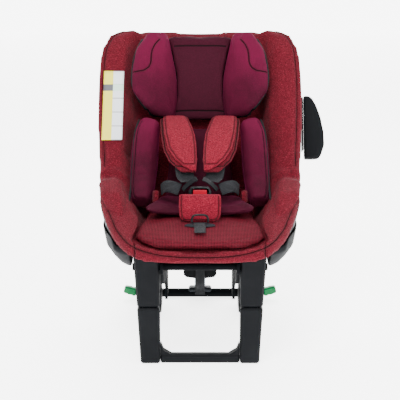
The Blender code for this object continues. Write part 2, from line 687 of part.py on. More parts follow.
def cushions(seat):
    rows = ((-0.034, 0.092, 0.2496, 0.2536), (-0.020, 0.118, 0.2516, 0.2606),
            (0.010, 0.132, 0.2532, 0.2680), (0.050, 0.130, 0.2532, 0.2740),
            (0.100, 0.123, 0.2528, 0.2760), (0.170, 0.118, 0.2516, 0.2740),
            (0.232, 0.114, 0.2565, 0.2740))
    bow = (0.050, 0.042, 0.024, 0.014, 0.004, 0.0, 0.0)
    rings = []
    for (y, half, low, high), curve in zip(rows, bow):
        ring = cushion_ring(y, wide(half), low, high)
        rings.append([(x, py + curve * (x / 0.15) ** 2, z) for x, py, z in ring])
    add("seat_cushion", loft(rings), "mesh_fabric", seat)

    insert = [(0.084, 0.112, 0.010), (0.100, 0.116, 0.014), (0.140, 0.102, 0.013), (0.215, 0.090, 0.013)]
    rings = []
    for y, half, rise in insert:
        low = 0.2828
        ring = cushion_ring(y, wide(half), low, low + rise, crown=-0.003)
        rings.append([(x, py + 0.010 * (x / 0.12) ** 2, z + 0.009 * (x / 0.12) ** 2)
                      for x, py, z in ring])
    add("insert_cushion", loft(rings), "insert_fabric", seat)

    path = [(0, 0.2450, 0.2900), (0, 0.2760, 0.3300), (0, 0.3060, 0.3850), (0, 0.3320, 0.4350)]
    add("insert_back", pad(path, lambda t: wide(0.084 - 0.012 * t), lambda t: rounded(t, 0.022, 0.8)),
        "insert_fabric", seat)
    for word, side in SIDES:
        path = [(side * 0.1275, 0.1580, 0.3040), (side * 0.1260, 0.2150, 0.3360),
                (side * 0.1235, 0.2600, 0.3860), (side * 0.121, 0.2920, 0.4280),
                (side * 0.112, 0.3120, 0.4560)]
        add(f"insert_bolster_{word}",
            pad([(wide(x), y, z) for x, y, z in path], lambda t: rounded(t, 0.027, 0.62),
                lambda t: rounded(t, 0.052, 0.7)),
            "insert_fabric", seat)


# ---------------------------------------------------------------- harness


def harness(seat):
    for word, side in SIDES:
        upper = [(side * 0.050, 0.3320, 0.4480), (side * 0.047, 0.2900, 0.4450),
                 (side * 0.044, 0.2420, 0.4265), (side * 0.038, 0.1960, 0.3960),
                 (side * 0.032, 0.1560, 0.3645), (side * 0.022, 0.1275, 0.3580)]
        add(f"shoulder_strap_{word}", strap(upper, (1, 0, 0), WEBBING_WIDTH), "webbing", seat)
        over = [(side * 0.0505, 0.3180, 0.4620), (side * 0.0495, 0.2820, 0.4570),
                (side * 0.0465, 0.2340, 0.4375), (side * 0.0430, 0.1880, 0.4070),
                (side * 0.0400, 0.1480, 0.3755)]
        add(f"shoulder_pad_{word}",
            pad(over, lambda t: rounded(t, 0.0360, 0.82), lambda t: rounded(t, 0.0155, 0.75)),
            "melange_fabric", seat)
        hip = [(side * 0.0430, 0.1255, 0.3400), (side * 0.058, 0.1290, 0.3450),
               (side * 0.074, 0.1420, 0.3430), (side * 0.0840, 0.1580, 0.3320)]
        add(f"hip_strap_{word}", strap(hip, (0, 0.25, 1.0), 0.026), "webbing", seat)
        holder = [(side * 0.0970, 0.1500, 0.3050), (side * 0.0960, 0.1530, 0.3160),
                  (side * 0.0950, 0.1560, 0.3310)]
        add(f"belt_holder_{word}",
            pad(holder, lambda t: 0.0100 + 0.002 * t, lambda t: 0.0120, across=(0.3 * side, 1, 0)),
            "melange_fabric", seat)
        tongue = [(side * 0.006, 0.1180, 0.3660), (side * 0.0175, 0.1190, 0.3600),
                  (side * 0.0300, 0.1205, 0.3480), (side * 0.0365, 0.1215, 0.3400)]
        add(f"buckle_tongue_{word}", strap(tongue, (0, 0.5, 1), 0.010, thickness=0.0040),
            "grey_plastic", seat)
    rings = []
    lean = Vector((0, 0.22, 1.0)).normalized()
    foot = Vector((0, 0.1030, 0.3115))
    out = Vector((0, -lean.z, lean.y))
    for t, half in ((0.0, 0.0200), (0.012, 0.0240), (0.030, 0.0240), (0.040, 0.0190)):
        centre = foot + lean * t
        corners = ((-half, -0.009), (half, -0.009), (half, 0.009), (-half, 0.009))
        rings.append([centre + Vector((x, 0, 0)) + out * d for x, d in corners])
    body = add("buckle_body", loft(rings), "black_plastic", seat, bevel=0.003)
    pocket_centre = foot + lean * 0.024 + out * 0.011
    cut(body, slab(pocket_centre, lean, out, 0.0155, 0.0095, 0.0075), "cut_buckle_button")
    button_axis = assembly("buckle_button_axis", foot + lean * 0.024 + out * 0.009, seat)
    add("buckle_button", slab(foot + lean * 0.024 + out * 0.0095, lean, out, 0.0145, 0.0085, 0.0025),
        "red_plastic", button_axis)

    crotch = [(0, 0.0990, 0.2960), (0, 0.0998, 0.3020), (0, 0.1010, 0.3085)]
    add("crotch_strap", strap(crotch, (1, 0, 0), WEBBING_WIDTH, steps=1), "webbing", seat)
    cover = [(0, 0.0655, 0.2850), (0, 0.0705, 0.3020), (0, 0.0775, 0.3260), (0, 0.0860, 0.3540)]
    add("crotch_pad", pad(cover, lambda t: 0.0400 + 0.0035 * t, lambda t: rounded(t, 0.014, 0.8)),
        "melange_fabric", seat)

    # Harness adjuster, flush in the front of the seat cushion.
    plate = []
    for z, half, deep in ((0.2832, 0.033, 0.012), (0.2872, 0.030, 0.010)):
        plate.append([(-half, 0.044 - deep * 0.4, z), (-half * 0.5, 0.044 - deep, z),
                      (half * 0.5, 0.044 - deep, z), (half, 0.044 - deep * 0.4, z),
                      (half * 0.45, 0.044 + deep, z), (-half * 0.45, 0.044 + deep, z)])
    bezel = add("adjuster_bezel", loft(plate), "grey_plastic", seat)
    cut(bezel, block((-0.0125, 0.0365, 0.27), (0.0125, 0.0510, 0.30)), "cut_adjuster")
    lever_axis = assembly("adjuster_lever_axis", (0, 0.0495, 0.2852), seat)
    add("adjuster_lever", block((-0.0115, 0.0440, 0.2838), (0.0115, 0.0500, 0.2862)), "black_plastic",
        lever_axis)
    tail = [(0, 0.0410, 0.2850), (0, 0.0370, 0.2890), (0, 0.0300, 0.2905), (0, 0.0200, 0.2870),
            (0, 0.0060, 0.2850), (0, -0.0050, 0.2815)]
    add("adjuster_strap", strap(tail, (1, 0, 0), 0.0235), "webbing", seat)


def slab(centre, up, out, half_width, half_height, half_depth):
    """A block turned to face `out`."""
    rings = []
    for d in (-half_depth, half_depth):
        middle = Vector(centre) + out * d
        rings.append([middle + Vector((x, 0, 0)) + up * h for x, h in
                      ((-half_width, -half_height), (half_width, -half_height),
                       (half_width, half_height), (-half_width, half_height))])
    return loft(rings)


# ---------------------------------------------------------------- headrest


def back_frame():
    """Origin, up the back, and forward from the back."""
    up = (BACK_TOP - BACK_FOOT).normalized()
    return BACK_FOOT, up, Vector((0, -up.z, up.y))


def back_point(x, along, forward):
    foot, up, out = back_frame()
    return foot + up * along + out * forward + Vector((x, 0, 0))


def headrest(head):
    bottom, top = HEADREST_BOTTOM, HEADREST_BOTTOM + HEADREST_LENGTH
    shares = (0.0, 0.12, 0.30, 0.55, 0.80, 1.0)
    widths = (0.72, 0.86, 1.0, 1.0, 0.95, 0.80)
    wing_reach = (0.052, 0.074, 0.084, 0.080, 0.070, 0.056)

    def height(share):
        return bottom + (top - bottom) * share

    rings = []
    for share, narrow, reach in zip(shares, widths, wing_reach):
        half = wide(0.157) * narrow
        outer = [(0, 0.0045), (0.64 * half, 0.0045), (0.815 * half, 0.030), (half, reach * 0.72)]
        inner = [(0, 0.0090), (0.62 * half, 0.0090), (0.787 * half, 0.032), (half - 0.004, reach * 0.74)]
        ring = around([(x, d, 0) for x, d in outer], [(x, d, 0) for x, d in inner])
        rings.append([back_point(x, height(share), d) for x, d, _ in ring])
    add("headrest_shell", loft(rings, True, True), "black_plastic", head)

    rings = []
    for share, half in zip(shares, (0.052, 0.050, 0.046, 0.048, 0.058, 0.066)):
        half = wide(half)
        ring = [(-half, 0.0096), (half, 0.0096), (half + 0.002, 0.026), (half * 0.6, 0.034),
                (-half * 0.6, 0.034), (-half - 0.002, 0.026)]
        rings.append([back_point(x, height(share), d) for x, d in ring])
    add("headrest_centre_pad", loft(rings), "insert_fabric", head)

    for word, side in SIDES:
        rings = []
        inner_edge = (0.060, 0.058, 0.054, 0.056, 0.066, 0.074)
        for share, narrow, reach, inner in zip(shares, widths, wing_reach, inner_edge):
            half = wide(0.157) * narrow
            ring = [(wide(inner), 0.0100), (0.60 * half, 0.0100), (0.761 * half, 0.0335),
                    (half - 0.0055, reach * 0.76), (half - 0.008, reach * 0.96), (half - 0.024, reach),
                    (0.70 * half, reach * 0.80), (wide(inner) + 0.004, 0.0380)]
            rings.append([back_point(side * x, height(share), d) for x, d in ring])
        add(f"headrest_wing_{word}", loft(rings, split=True), "insert_fabric", head)


# ---------------------------------------------------------------- side wing and label


def side_wing(seat):
    foot = back_point(0, 0.055, 0)
    _, up, out = back_frame()
    hinge_x = SEAT_WIDTH / 2 + 0.006

    def at(x, along, forward):
        return foot + up * along + out * forward + Vector((x, 0, 0))

    bracket = loft([[at(hinge_x + x, t, d) for x, d in ((-0.0048, -0.006), (-0.0016, -0.006), (-0.0016, 0.020),
                                              (-0.0048, 0.020))] for t in (-0.040, 0.084)])
    add("wing_bracket", bracket, "black_plastic", seat)
    axis = assembly("side_wing_axis", at(hinge_x, 0.0, 0.006), seat)
    low, high = -0.058, 0.092
    outline = ((low, 0.036), (low + 0.012, 0.043), (low + 0.035, 0.0505), (low + 0.065, 0.049),
               (low + 0.100, 0.042), (high - 0.022, 0.032), (high - 0.005, 0.022), (high, 0.014))
    rings = []
    for t, reach in outline:
        ring = [(hinge_x + 0.0010, -0.016), (hinge_x + reach * 0.75, -0.014),
                (hinge_x + reach, -0.006), (hinge_x + reach * 0.97, 0.001),
                (hinge_x + reach * 0.70, 0.0045), (hinge_x + 0.0010, 0.0045)]
        rings.append([at(x, t, d) for x, d in ring])
    add("side_wing", loft(rings), "black_plastic", axis, bevel=0.002)


def label(seat):
    """A blank two-tone cloth tag sewn to the left bolster."""
    _, up, out = back_frame()
    rings = []
    for along, reach in ((0.0220, 0.1002), (0.0714, 0.0860), (0.1223, 0.0721), (0.1920, 0.0539)):
        p = BACK_FOOT + up * along * (BACK_LENGTH / 0.300) + out * reach
        rings.append([p + Vector((wide(x), 0, 0)) + out * d for x, d in
                      ((-0.219, 0.0), (-0.175, 0.0), (-0.175, 0.0010), (-0.219, 0.0010))])
    add("sewn_label", loft(rings), "label_cloth", seat)


# ---------------------------------------------------------------- assembly


def main():
    clear_scene()
    root = assembly("base_axis", (0, 0, 0))
    fold = assembly("support_fold_axis", (0, PIVOT_Y, PIVOT_Z), root)
    slide = assembly("support_slide_axis", (0, PIVOT_Y, LEG_JOINT_Z), fold)
    arms = assembly("anchor_arms_axis", (0, CROSS_BAR_Y, CROSS_BAR_R), root)
    seat = assembly("recline_axis", (0, RECLINE_Y, RECLINE_Z), root)
    head = assembly("headrest_axis", tuple(BACK_FOOT), seat)
    base(root)
    support_frame(fold, slide)
    anchor_arms(arms)
    bucket(seat)
    cushions(seat)
    harness(seat)
    headrest(head)
    side_wing(seat)
    label(seat)


main()
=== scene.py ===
"""The looks of a convertible child car seat, made around its packed model."""

import math
from functools import partialmethod

import bmesh
import bpy
import numpy as np
from mathutils import Matrix, Vector
from mathutils.bvhtree import BVHTree


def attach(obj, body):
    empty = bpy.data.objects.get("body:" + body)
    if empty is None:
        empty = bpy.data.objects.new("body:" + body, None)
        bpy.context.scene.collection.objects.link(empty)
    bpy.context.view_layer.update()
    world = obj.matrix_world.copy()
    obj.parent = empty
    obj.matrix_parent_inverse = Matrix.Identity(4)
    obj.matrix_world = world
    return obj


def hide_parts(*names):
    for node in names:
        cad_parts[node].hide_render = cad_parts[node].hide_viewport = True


bl_info = {
    "name": "Convertible car seat",
    "version": (1, 0, 0),
    "blender": (4, 5, 0),
    "location": "View3D > Sidebar > Car seat",
    "description": "Builds a convertible child car seat's fabric, webbing and plastic around its frame",
    "category": "Add Mesh",
}

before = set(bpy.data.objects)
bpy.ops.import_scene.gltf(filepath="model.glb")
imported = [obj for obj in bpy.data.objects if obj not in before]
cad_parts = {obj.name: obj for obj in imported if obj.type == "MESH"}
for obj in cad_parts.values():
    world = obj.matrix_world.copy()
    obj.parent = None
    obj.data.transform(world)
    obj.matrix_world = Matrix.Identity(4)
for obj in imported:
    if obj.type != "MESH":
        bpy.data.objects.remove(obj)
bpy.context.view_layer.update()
SIDES = (("left", -1), ("right", 1))
TURN = 6.2832
FRAMES = 20


# Shader maths

class Value:
    """A shader socket that takes Python's operators."""

    def __init__(self, finish, socket):
        self.finish = finish
        self.socket = socket

    def maths(self, operation, *others):
        return self.finish.node("Math", {"operation": operation}, self, *others)

    __add__ = __radd__ = partialmethod(maths, "ADD")
    __mul__ = __rmul__ = partialmethod(maths, "MULTIPLY")
    __sub__ = partialmethod(maths, "SUBTRACT")
    sine = partialmethod(maths, "SINE")
    absolute = partialmethod(maths, "ABSOLUTE")
    fraction = partialmethod(maths, "FRACT")

    def __rsub__(self, other):
        return self.finish.node("Math", {"operation": "SUBTRACT"}, other, self)

    def rise(self, low, high):
        """0 below low and 1 above high, smooth between them."""
        settings = {"interpolation_type": "SMOOTHSTEP"}
        return self.finish.node("MapRange", settings, self, low, high, .0, 1.0)


class Finish:
    """A procedural material, made one node at a time."""

    def __init__(self, name, roughness=.5, metallic=.0, gloss=.5, **constants):
        self.material = bpy.data.materials.new(name)
        self.material.use_nodes = True
        self.tree = self.material.node_tree
        self.shader = self.tree.nodes["Principled BSDF"]
        self.shader.inputs["Metallic"].default_value = metallic
        self.shader.inputs["Roughness"].default_value = roughness
        self.shader.inputs["Specular IOR Level"].default_value = gloss
        for socket, value in constants.items():
            self.shader.inputs[socket.replace("_", " ").title()].default_value = value

    def node(self, kind, settings, *inputs, out=0, **named):
        made = self.tree.nodes.new("ShaderNode" + kind)
        for key, value in settings.items():
            setattr(made, key, value)
        for key, value in [*enumerate(inputs), *named.items()]:
            socket = made.inputs[key]
            if isinstance(value, Value):
                self.tree.links.new(value.socket, socket)
            elif value is not None:
                socket.default_value = value
        return Value(self, made.outputs[out])

    def set(self, socket, value):
        self.tree.links.new(value.socket, self.shader.inputs[socket])

    def place(self, scale=(1.0, 1.0, 1.0), turn=(.0, .0, .0)):
        """Object coordinates in metres, scaled and turned."""
        where = self.node("TexCoord", {}, out="Object")
        return self.node("Mapping", {}, where, None, turn, scale)

    def along(self, name="UVMap"):
        return self.node("UVMap", {"uv_map": name})

    def parts(self, vector):
        split = self.node("SeparateXYZ", {}, vector)
        return [Value(self, split.socket.node.outputs[k]) for k in range(3)]

    def noise(self, scale, detail=2.0, roughness=.5, vector=None):
        where = vector or self.place()
        return self.node("TexNoise", {}, where, None, scale, detail, roughness)

    def mix(self, share, low, high):
        made = self.tree.nodes.new("ShaderNodeMix")
        made.data_type = "RGBA"
        for key, value in ((0, share), (6, low), (7, high)):
            if isinstance(value, Value):
                self.tree.links.new(value.socket, made.inputs[key])
            else:
                made.inputs[key].default_value = value if key == 0 else (*value, 1.0)
        return Value(self, made.outputs[2])

    def bump(self, height, distance, strength=1.0):
        self.set("Normal", self.node("Bump", {}, strength, distance, Height=height))

    def seam(self, width):
        """1 on a seam line, fading out to each side. Needs the seam attribute."""
        gap = self.node("Attribute", {"attribute_name": "seam"}, out="Fac")
        return 1 - gap.rise(width * .35, width)


def woven(name, dark, mid, light, seam_shade=.35, grain=430.0, weave=.0011, line=.0019):
    """A melange cloth: mixed light and dark threads in a plain weave, with sewn seams."""
    cloth = Finish(name, .92, gloss=.08, Sheen_Weight=.02, Sheen_Roughness=.5)
    x, y, z = cloth.parts(cloth.place((1 / weave, 1 / weave, 1 / weave)))
    threads = (x * TURN).sine() * (z * 6.2832 + y * TURN).sine()
    fleck = cloth.noise(grain, 3.0, .75)
    long_fleck = cloth.noise(1.0, 2.0, .6, cloth.place((260.0, 620.0, 620.0), (.0, .5, .3)))
    shade = cloth.mix(fleck.rise(.36, .64), dark, mid)
    shade = cloth.mix(long_fleck.rise(.52, .72) * .75, shade, light)
    shade = cloth.mix(threads.rise(-1.0, 1.0) * .22, shade, tuple(c * .45 for c in mid))
    seam = cloth.seam(line)
    shade = cloth.mix(seam, shade, tuple(c * seam_shade for c in dark))
    cloth.set("Base Color", shade)
    cloth.set("Roughness", .96 - fleck * .12)
    height = threads * .3 + fleck * .7 - seam * 2.2
    cloth.bump(height, .0006, .8)
    return cloth.material


def jersey(name, dark, light, foot=.0, top=.0):
    """A smooth brushed jersey with a soft sheen, its pile laid lighter between two heights."""
    cloth = Finish(name, .75, gloss=.08, Sheen_Weight=.12, Sheen_Roughness=.3,
                   Sheen_Tint=(.9, .05, .32, 1))
    pile = cloth.noise(950.0, 3.0, .6)
    cloudy = cloth.noise(22.0, 2.0, .5)
    x, y, z = cloth.parts(cloth.place((700.0, 700.0, 700.0)))
    wale = (x * TURN).sine()
    share = cloudy.rise(.3, .7) * .22 + pile.rise(.35, .65) * .4
    # Painted light: above the height foot the colour is painted lighter, fully so above the height top,
    # standing in for light falling on the upper part.
    if top > foot:
        share = share + cloth.parts(cloth.place((1.0, 1.0, 1.0)))[2].rise(foot, top) * .65
    shade = cloth.mix(share, dark, light)
    seam = cloth.seam(.002)
    shade = cloth.mix(seam, shade, tuple(c * .3 for c in dark))
    cloth.set("Base Color", shade)
    cloth.set("Roughness", .7 + pile * .2)
    cloth.bump(pile * .5 + wale * .25 - seam * 2.4, .0004, .6)
    return cloth.material


def perforated(name, thread, hole, pitch=.0062, share=.3):
    """A spacer mesh: staggered holes between glossy threads."""
    cloth = Finish(name, .8, gloss=.1)
    x, y, z = cloth.parts(cloth.place((1 / pitch, 1 / pitch, 1 / pitch)))
    grid = (x * TURN).sine() * ((y * .35 + z) * TURN).sine()
    holes = grid.absolute().rise(share, share + .35)
    uneven = cloth.noise(300.0, 2.0, .6)
    shade = cloth.mix(uneven.rise(.3, .7), thread, tuple(min(1.0, c * 1.35) for c in thread))
    shade = cloth.mix(holes, shade, hole)
    seam = cloth.seam(.0022)
    shade = cloth.mix(seam, shade, tuple(c * .25 for c in hole))
    cloth.set("Base Color", shade)
    cloth.bump(.0 - holes * 1.0 - seam * 2.0 + uneven * .2, .0007, .8)
    return cloth.material


def moulded(name, colour, roughness, grain=900.0, depth=.00012, coat=.0):
    """Textured plastic with a fine grain and a little polish from handling."""
    plastic = Finish(name, roughness, gloss=.05, Coat_Weight=coat, Coat_Roughness=.3)
    grit = plastic.noise(grain, 2.0, .6)
    worn = plastic.noise(14.0, 3.0, .6)
    lighter = tuple(c * 1.5 + .0006 for c in colour)
    plastic.set("Base Color", plastic.mix(worn.rise(.45, .75) * .5, colour, lighter))
    plastic.set("Roughness", roughness - worn.rise(.5, .8) * .1 + grit * .08)
    plastic.bump(grit, depth, .7)
    return plastic.material


def plated(name, colour, roughness, metallic):
    """Metal with fine drawn lines and a few dull patches."""
    metal = Finish(name, roughness, metallic, gloss=.5 if metallic == 1.0 else .01)
    lines = metal.noise(1.0, 3.0, .6, metal.place((60.0, 1800.0, 1800.0)))
    dull = metal.noise(40.0, 3.0, .6)
    metal.set("Base Color", metal.mix(dull.rise(.4, .7) * .5, colour, tuple(c * .7 for c in colour)))
    metal.set("Roughness", roughness + lines * .12 + dull.rise(.5, .8) * .1)
    metal.bump(lines, .00006, .5)
    return metal.material


def belt(name, colour, edge):
    """Harness webbing: ribs along its length, a fine twill and a bound edge. UVs are in metres."""
    tape = Finish(name, .7, gloss=.2)
    across, down, _ = tape.parts(tape.along())
    ribs = (across * (TURN / .0032)).sine()
    twill = ((across + down) * (TURN / .0014)).sine()
    worn = tape.noise(120.0, 3.0, .6)
    shade = tape.mix(ribs.rise(-1.0, 1.0) * .55 + twill.rise(-1.0, 1.0) * .25, colour, edge)
    shade = tape.mix(worn.rise(.45, .7) * .4, shade, tuple(c * .6 for c in colour))
    tape.set("Base Color", shade)
    tape.set("Roughness", .62 + worn * .2)
    tape.bump(ribs * .6 + twill * .5, .0004, .8)
    return tape.material


def tag_cloth(name):
    """A blank two-column cloth tag: one plain column and one of ruled blocks. UVs run 0 to 1."""
    tag = Finish(name, .6)
    across, down, _ = tag.parts(tag.along())
    column = across.rise(.47, .48)
    blocks = (down * 5.0).fraction()
    rule = blocks.rise(.02, .05) * (1 - blocks.rise(.95, .98))
    band = down.rise(.705, .71) * (1 - down.rise(.8, .805))
    weave = tag.noise(1600.0, 2.0, .6)
    left = tag.mix(weave * .15, (.66, .58, .03), (.5, .44, .02))
    right = tag.mix(rule, (.25, .25, .26), (.6, .62, .64))
    dark = tag.mix(column, (.06, .06, .07), (.45, .6, .5))
    shade = tag.mix(band, tag.mix(column, left, right), dark)
    tag.set("Base Color", shade)
    tag.bump(weave, .0002, .5)
    return tag.material


def recipes():
    """Each finish's slot in the record, its maker and the values it is made with."""
    own = bpy.context.scene.car_seat
    return {
        "melange": ("melange_fabric", woven, "melange_cloth", own.cloth_dark, own.cloth, own.cloth_light),
        "pad_melange": ("melange_fabric", woven, "pad_melange_cloth", (.07, .003, .0085),
                        (.19, .0068, .019), (.3, .026, .044), .7, 430.0, .0011, .0013),
        "mesh": ("mesh_fabric", perforated, "mesh_cloth", own.mesh, (.0065, .0004, .0013)),
        # The last two numbers of the jersey and bolster_jersey rows are the heights between which the
        # jersey is painted lighter towards the top: painted light.
        "jersey": ("insert_fabric", jersey, "brushed_jersey", own.insert_dark, own.insert, .5, .63),
        "bolster_jersey": ("insert_fabric", jersey, "bolster_jersey", own.insert_dark, own.insert,
                           .36, .48),
        "low_jersey": ("insert_fabric", jersey, "low_jersey", (.018, .0007, .0045), (.048, .0018, .012)),
        "centre_mesh": ("insert_fabric", perforated, "centre_mesh_cloth", (.026, .001, .0066),
                        (.014, .0006, .0036), .0026, .45),
        "piping": ("webbing", belt, "piping_tape", (.0035, .0038, .0044), (.008, .0085, .01)),
        "webbing": ("webbing", belt, "webbing_tape", own.webbing, (.016, .017, .02)),
        "plastic": ("black_plastic", moulded, "black_plastic_grain", own.plastic, .48),
        "cheek_plastic": ("black_plastic", moulded, "cheek_plastic_grain", (.0045, .005, .006), .58),
        "grey_plastic": ("grey_plastic", moulded, "grey_plastic_grain", (.014, .016, .019), .42),
        "gloss_plastic": ("black_plastic", moulded, "gloss_plastic_grain", (.0032, .0036, .0045), .22,
                          900.0, .00012, .2),
        "green": ("green_plastic", moulded, "green_plastic_grain", (.0, .11, .03), .3,
                  500.0, .00005, .12),
        "red": ("red_plastic", moulded, "red_plastic_grain", (.26, .0006, .012), .3,
                500.0, .00005, .15),
        "zinc": ("zinc_steel", plated, "zinc_plate", (.62, .68, .74), .25, 1.0),
        "steel": ("black_steel", plated, "black_steel_paint", (.0032, .0036, .0044), .55, .0),
        "foam": ("foam", moulded, "bead_foam", (.55, .55, .53), .9, 260.0, .0006),
        "thread": (None, belt, "sewing_thread", (.028, .0015, .003), (.06, .004, .008)),
        "tag": ("label_cloth", tag_cloth, "blank_tag_cloth"),
    }


FINISHES = {}


def finish(name):
    """The named material, made when it is first asked for."""
    if name not in FINISHES:
        slot, make, *values = recipes()[name]
        FINISHES[name] = make(*values)
    return FINISHES[name]


# Mesh helpers

def smooth_path(points, steps):
    """A smooth curve through points, as an array, with this many pieces between each two."""
    p = np.asarray(points, float)
    p = np.vstack([2 * p[0] - p[1], p, 2 * p[-1] - p[-2]])
    made = []
    for k in range(1, len(p) - 2):
        for t in np.arange(steps) / steps:
            a, b, c, d = p[k - 1], p[k], p[k + 1], p[k + 2]
            made.append(.5 * (2 * b + (c - a) * t + (2 * a - 5 * b + 4 * c - d) * t**2
                               + (3 * b - a - 3 * c + d) * t**3))
    made.append(p[-2])
    return np.array(made)


def unit(vector):
    return vector / np.linalg.norm(vector)


def ahead_of(path, i):
    """The way a path runs at one of its points."""
    return path[min(i + 1, len(path) - 1)] - path[max(i - 1, 0)]


def new_object(name, data):
    made = bpy.data.objects.new(name, data)
    bpy.context.scene.collection.objects.link(made)
    return made


def mesh_piece(name, points, faces, material, closed=True):
    mesh = bpy.data.meshes.new(name)
    mesh.from_pydata([tuple(p) for p in points], [], faces)
    piece = new_object(name, mesh)
    form = bmesh.new()
    form.from_mesh(mesh)
    bmesh.ops.remove_doubles(form, verts=form.verts, dist=1e-6)
    if closed:
        bmesh.ops.recalc_face_normals(form, faces=form.faces)
    form.to_mesh(mesh)
    form.free()
    mesh.materials.append(finish(material))
    mesh.shade_smooth()
    return piece


def ring_loft(name, rings, material, cap=True):
    """A closed solid through rings of points."""
    rings = np.asarray(rings, float)
    rows, count = rings.shape[:2]
    faces = []
    for r in range(rows - 1):
        for i in range(count):
            j = (i + 1) % count
            faces.append((r * count + i, r * count + j, (r + 1) * count + j, (r + 1) * count + i))
    points = list(rings.reshape(-1, 3))
    if cap:
        for r, flip in ((0, True), (rows - 1, False)):
            points.append(rings[r].mean(0))
            for i in range(count):
                a, b = r * count + i, r * count + (i + 1) % count
                faces.append((b, a, len(points) - 1) if flip else (a, b, len(points) - 1))
    return mesh_piece(name, points, faces, material)


def slab(name, top, bottom, material):
    """A closed solid between two grids of points of the same size."""
    top, bottom = np.asarray(top, float), np.asarray(bottom, float)
    rows, columns = top.shape[:2]
    half = rows * columns
    faces = []
    for r in range(rows - 1):
        for c in range(columns - 1):
            a, b = r * columns + c, r * columns + c + 1
            faces.append((a, b, b + columns, a + columns))
            faces.append((half + a, half + a + columns, half + b + columns, half + b))
    edge = [(0, c) for c in range(columns)] + [(r, columns - 1) for r in range(1, rows)]
    edge += [(rows - 1, c) for c in range(columns - 2, -1, -1)] + [(r, 0) for r in range(rows - 2, 0, -1)]
    loop = [r * columns + c for r, c in edge]
    for a, b in zip(loop, loop[1:] + loop[:1]):
        faces.append((b, a, half + a, half + b))
    points = np.vstack([top.reshape(-1, 3), bottom.reshape(-1, 3)])
    return mesh_piece(name, points, faces, material)


def bake(piece):
    """Applies a piece's modifiers to its mesh."""
    graph = bpy.context.evaluated_depsgraph_get()
    made = bpy.data.meshes.new_from_object(piece.evaluated_get(graph), depsgraph=graph)
    piece.modifiers.clear()
    old = piece.data
    piece.data = made
    bpy.data.meshes.remove(old)
    return piece


def read(items, key):
    found = np.empty(len(items) * 3)
    items.foreach_get(key, found)
    return found.reshape(-1, 3)


def vertices(piece):
    return read(piece.data.vertices, "co")


def put(piece, points):
    piece.data.vertices.foreach_set("co", np.asarray(points, float).ravel())
    piece.data.update()


def normals(piece):
    return read(piece.data.vertex_normals, "vector")


def remeshed(piece, size):
    modifier = piece.modifiers.new("even_mesh", "REMESH")
    modifier.mode = "VOXEL"
    modifier.voxel_size = size
    modifier.use_smooth_shade = True
    return bake(piece)


def refined(piece, levels=1):
    modifier = piece.modifiers.new("smooth_surface", "SUBSURF")
    modifier.levels = modifier.render_levels = levels
    return bake(piece)


def distance_to_lines(points, lines):
    """Each point's distance to the nearest of some polylines, in metres."""
    best = np.full(len(points), 1.0)
    for line in lines:
        line = np.asarray(line, float)
        for a, b in zip(line, line[1:]):
            along = b - a
            share = np.clip(((points - a) @ along) / max(along @ along, 1e-12), 0, 1)
            gap = np.linalg.norm(points - a - share[:, None] * along, axis=1)
            best = np.minimum(best, gap)
    return best


def on_surface(piece, line):
    """A line moved onto a piece's surface."""
    tree = BVHTree.FromObject(piece, bpy.context.evaluated_depsgraph_get())
    return np.array([tree.find_nearest(Vector(point))[0] for point in line])


def mark_seams(piece, lines, depth=.0016, width=.0055):
    """Sinks sewn seams into a piece, and stores each point's distance from them for its finish."""
    lines = [on_surface(piece, smooth_path(line, 6)) for line in lines]
    points = vertices(piece)
    gap = distance_to_lines(points, lines) if lines else np.full(len(points), 1.0)
    sink = np.clip(1 - gap / width, 0, 1) ** 2 * depth
    put(piece, points - normals(piece) * sink[:, None])
    layer = piece.data.attributes.new("seam", "FLOAT", "POINT")
    layer.data.foreach_set("value", np.minimum(gap, 1.0))
    return lines


SOFT = []


def fit_in(piece, body, *nodes, fill=None):
    """Says which body a piece rides on, what it stands for and which slot its finish is."""
    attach(piece, body)
    if nodes:
        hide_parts(*nodes)
    return piece


def solid_copies(*rows):
    """Finished copies of rigid CAD nodes, with their edges rounded. A * stands for each side in turn."""
    for node, material, body, rounding in rows:
        for word in ("left", "right") if "*" in node else ("",):
            name = node.replace("*", word)
            piece = merged_copy(name, "made_" + name, material, True)
            if rounding:
                rounded_edges(piece, rounding, 32.0)
            fit_in(piece, body.replace("*", word), name)


def moulding(node, material, body, size, passes):
    """A rounded plastic moulding in a CAD node's place."""
    piece = merged_copy(node, "made_" + node, material)
    remeshed(piece, size)
    relaxed(piece, passes)
    refined(piece)
    piece.data.shade_smooth()
    fit_in(piece, body, node)


def rounded_edges(piece, width, angle=30.0):
    """Rounds the edges sharper than an angle in degrees."""
    piece.data.set_sharp_from_angle(angle=math.radians(angle))
    rounding = piece.modifiers.new("rounded_edges", "BEVEL")
    rounding.width = width
    rounding.segments = 3
    rounding.limit_method = "ANGLE"
    rounding.angle_limit = math.radians(angle)
    rounding.harden_normals = True
    return piece


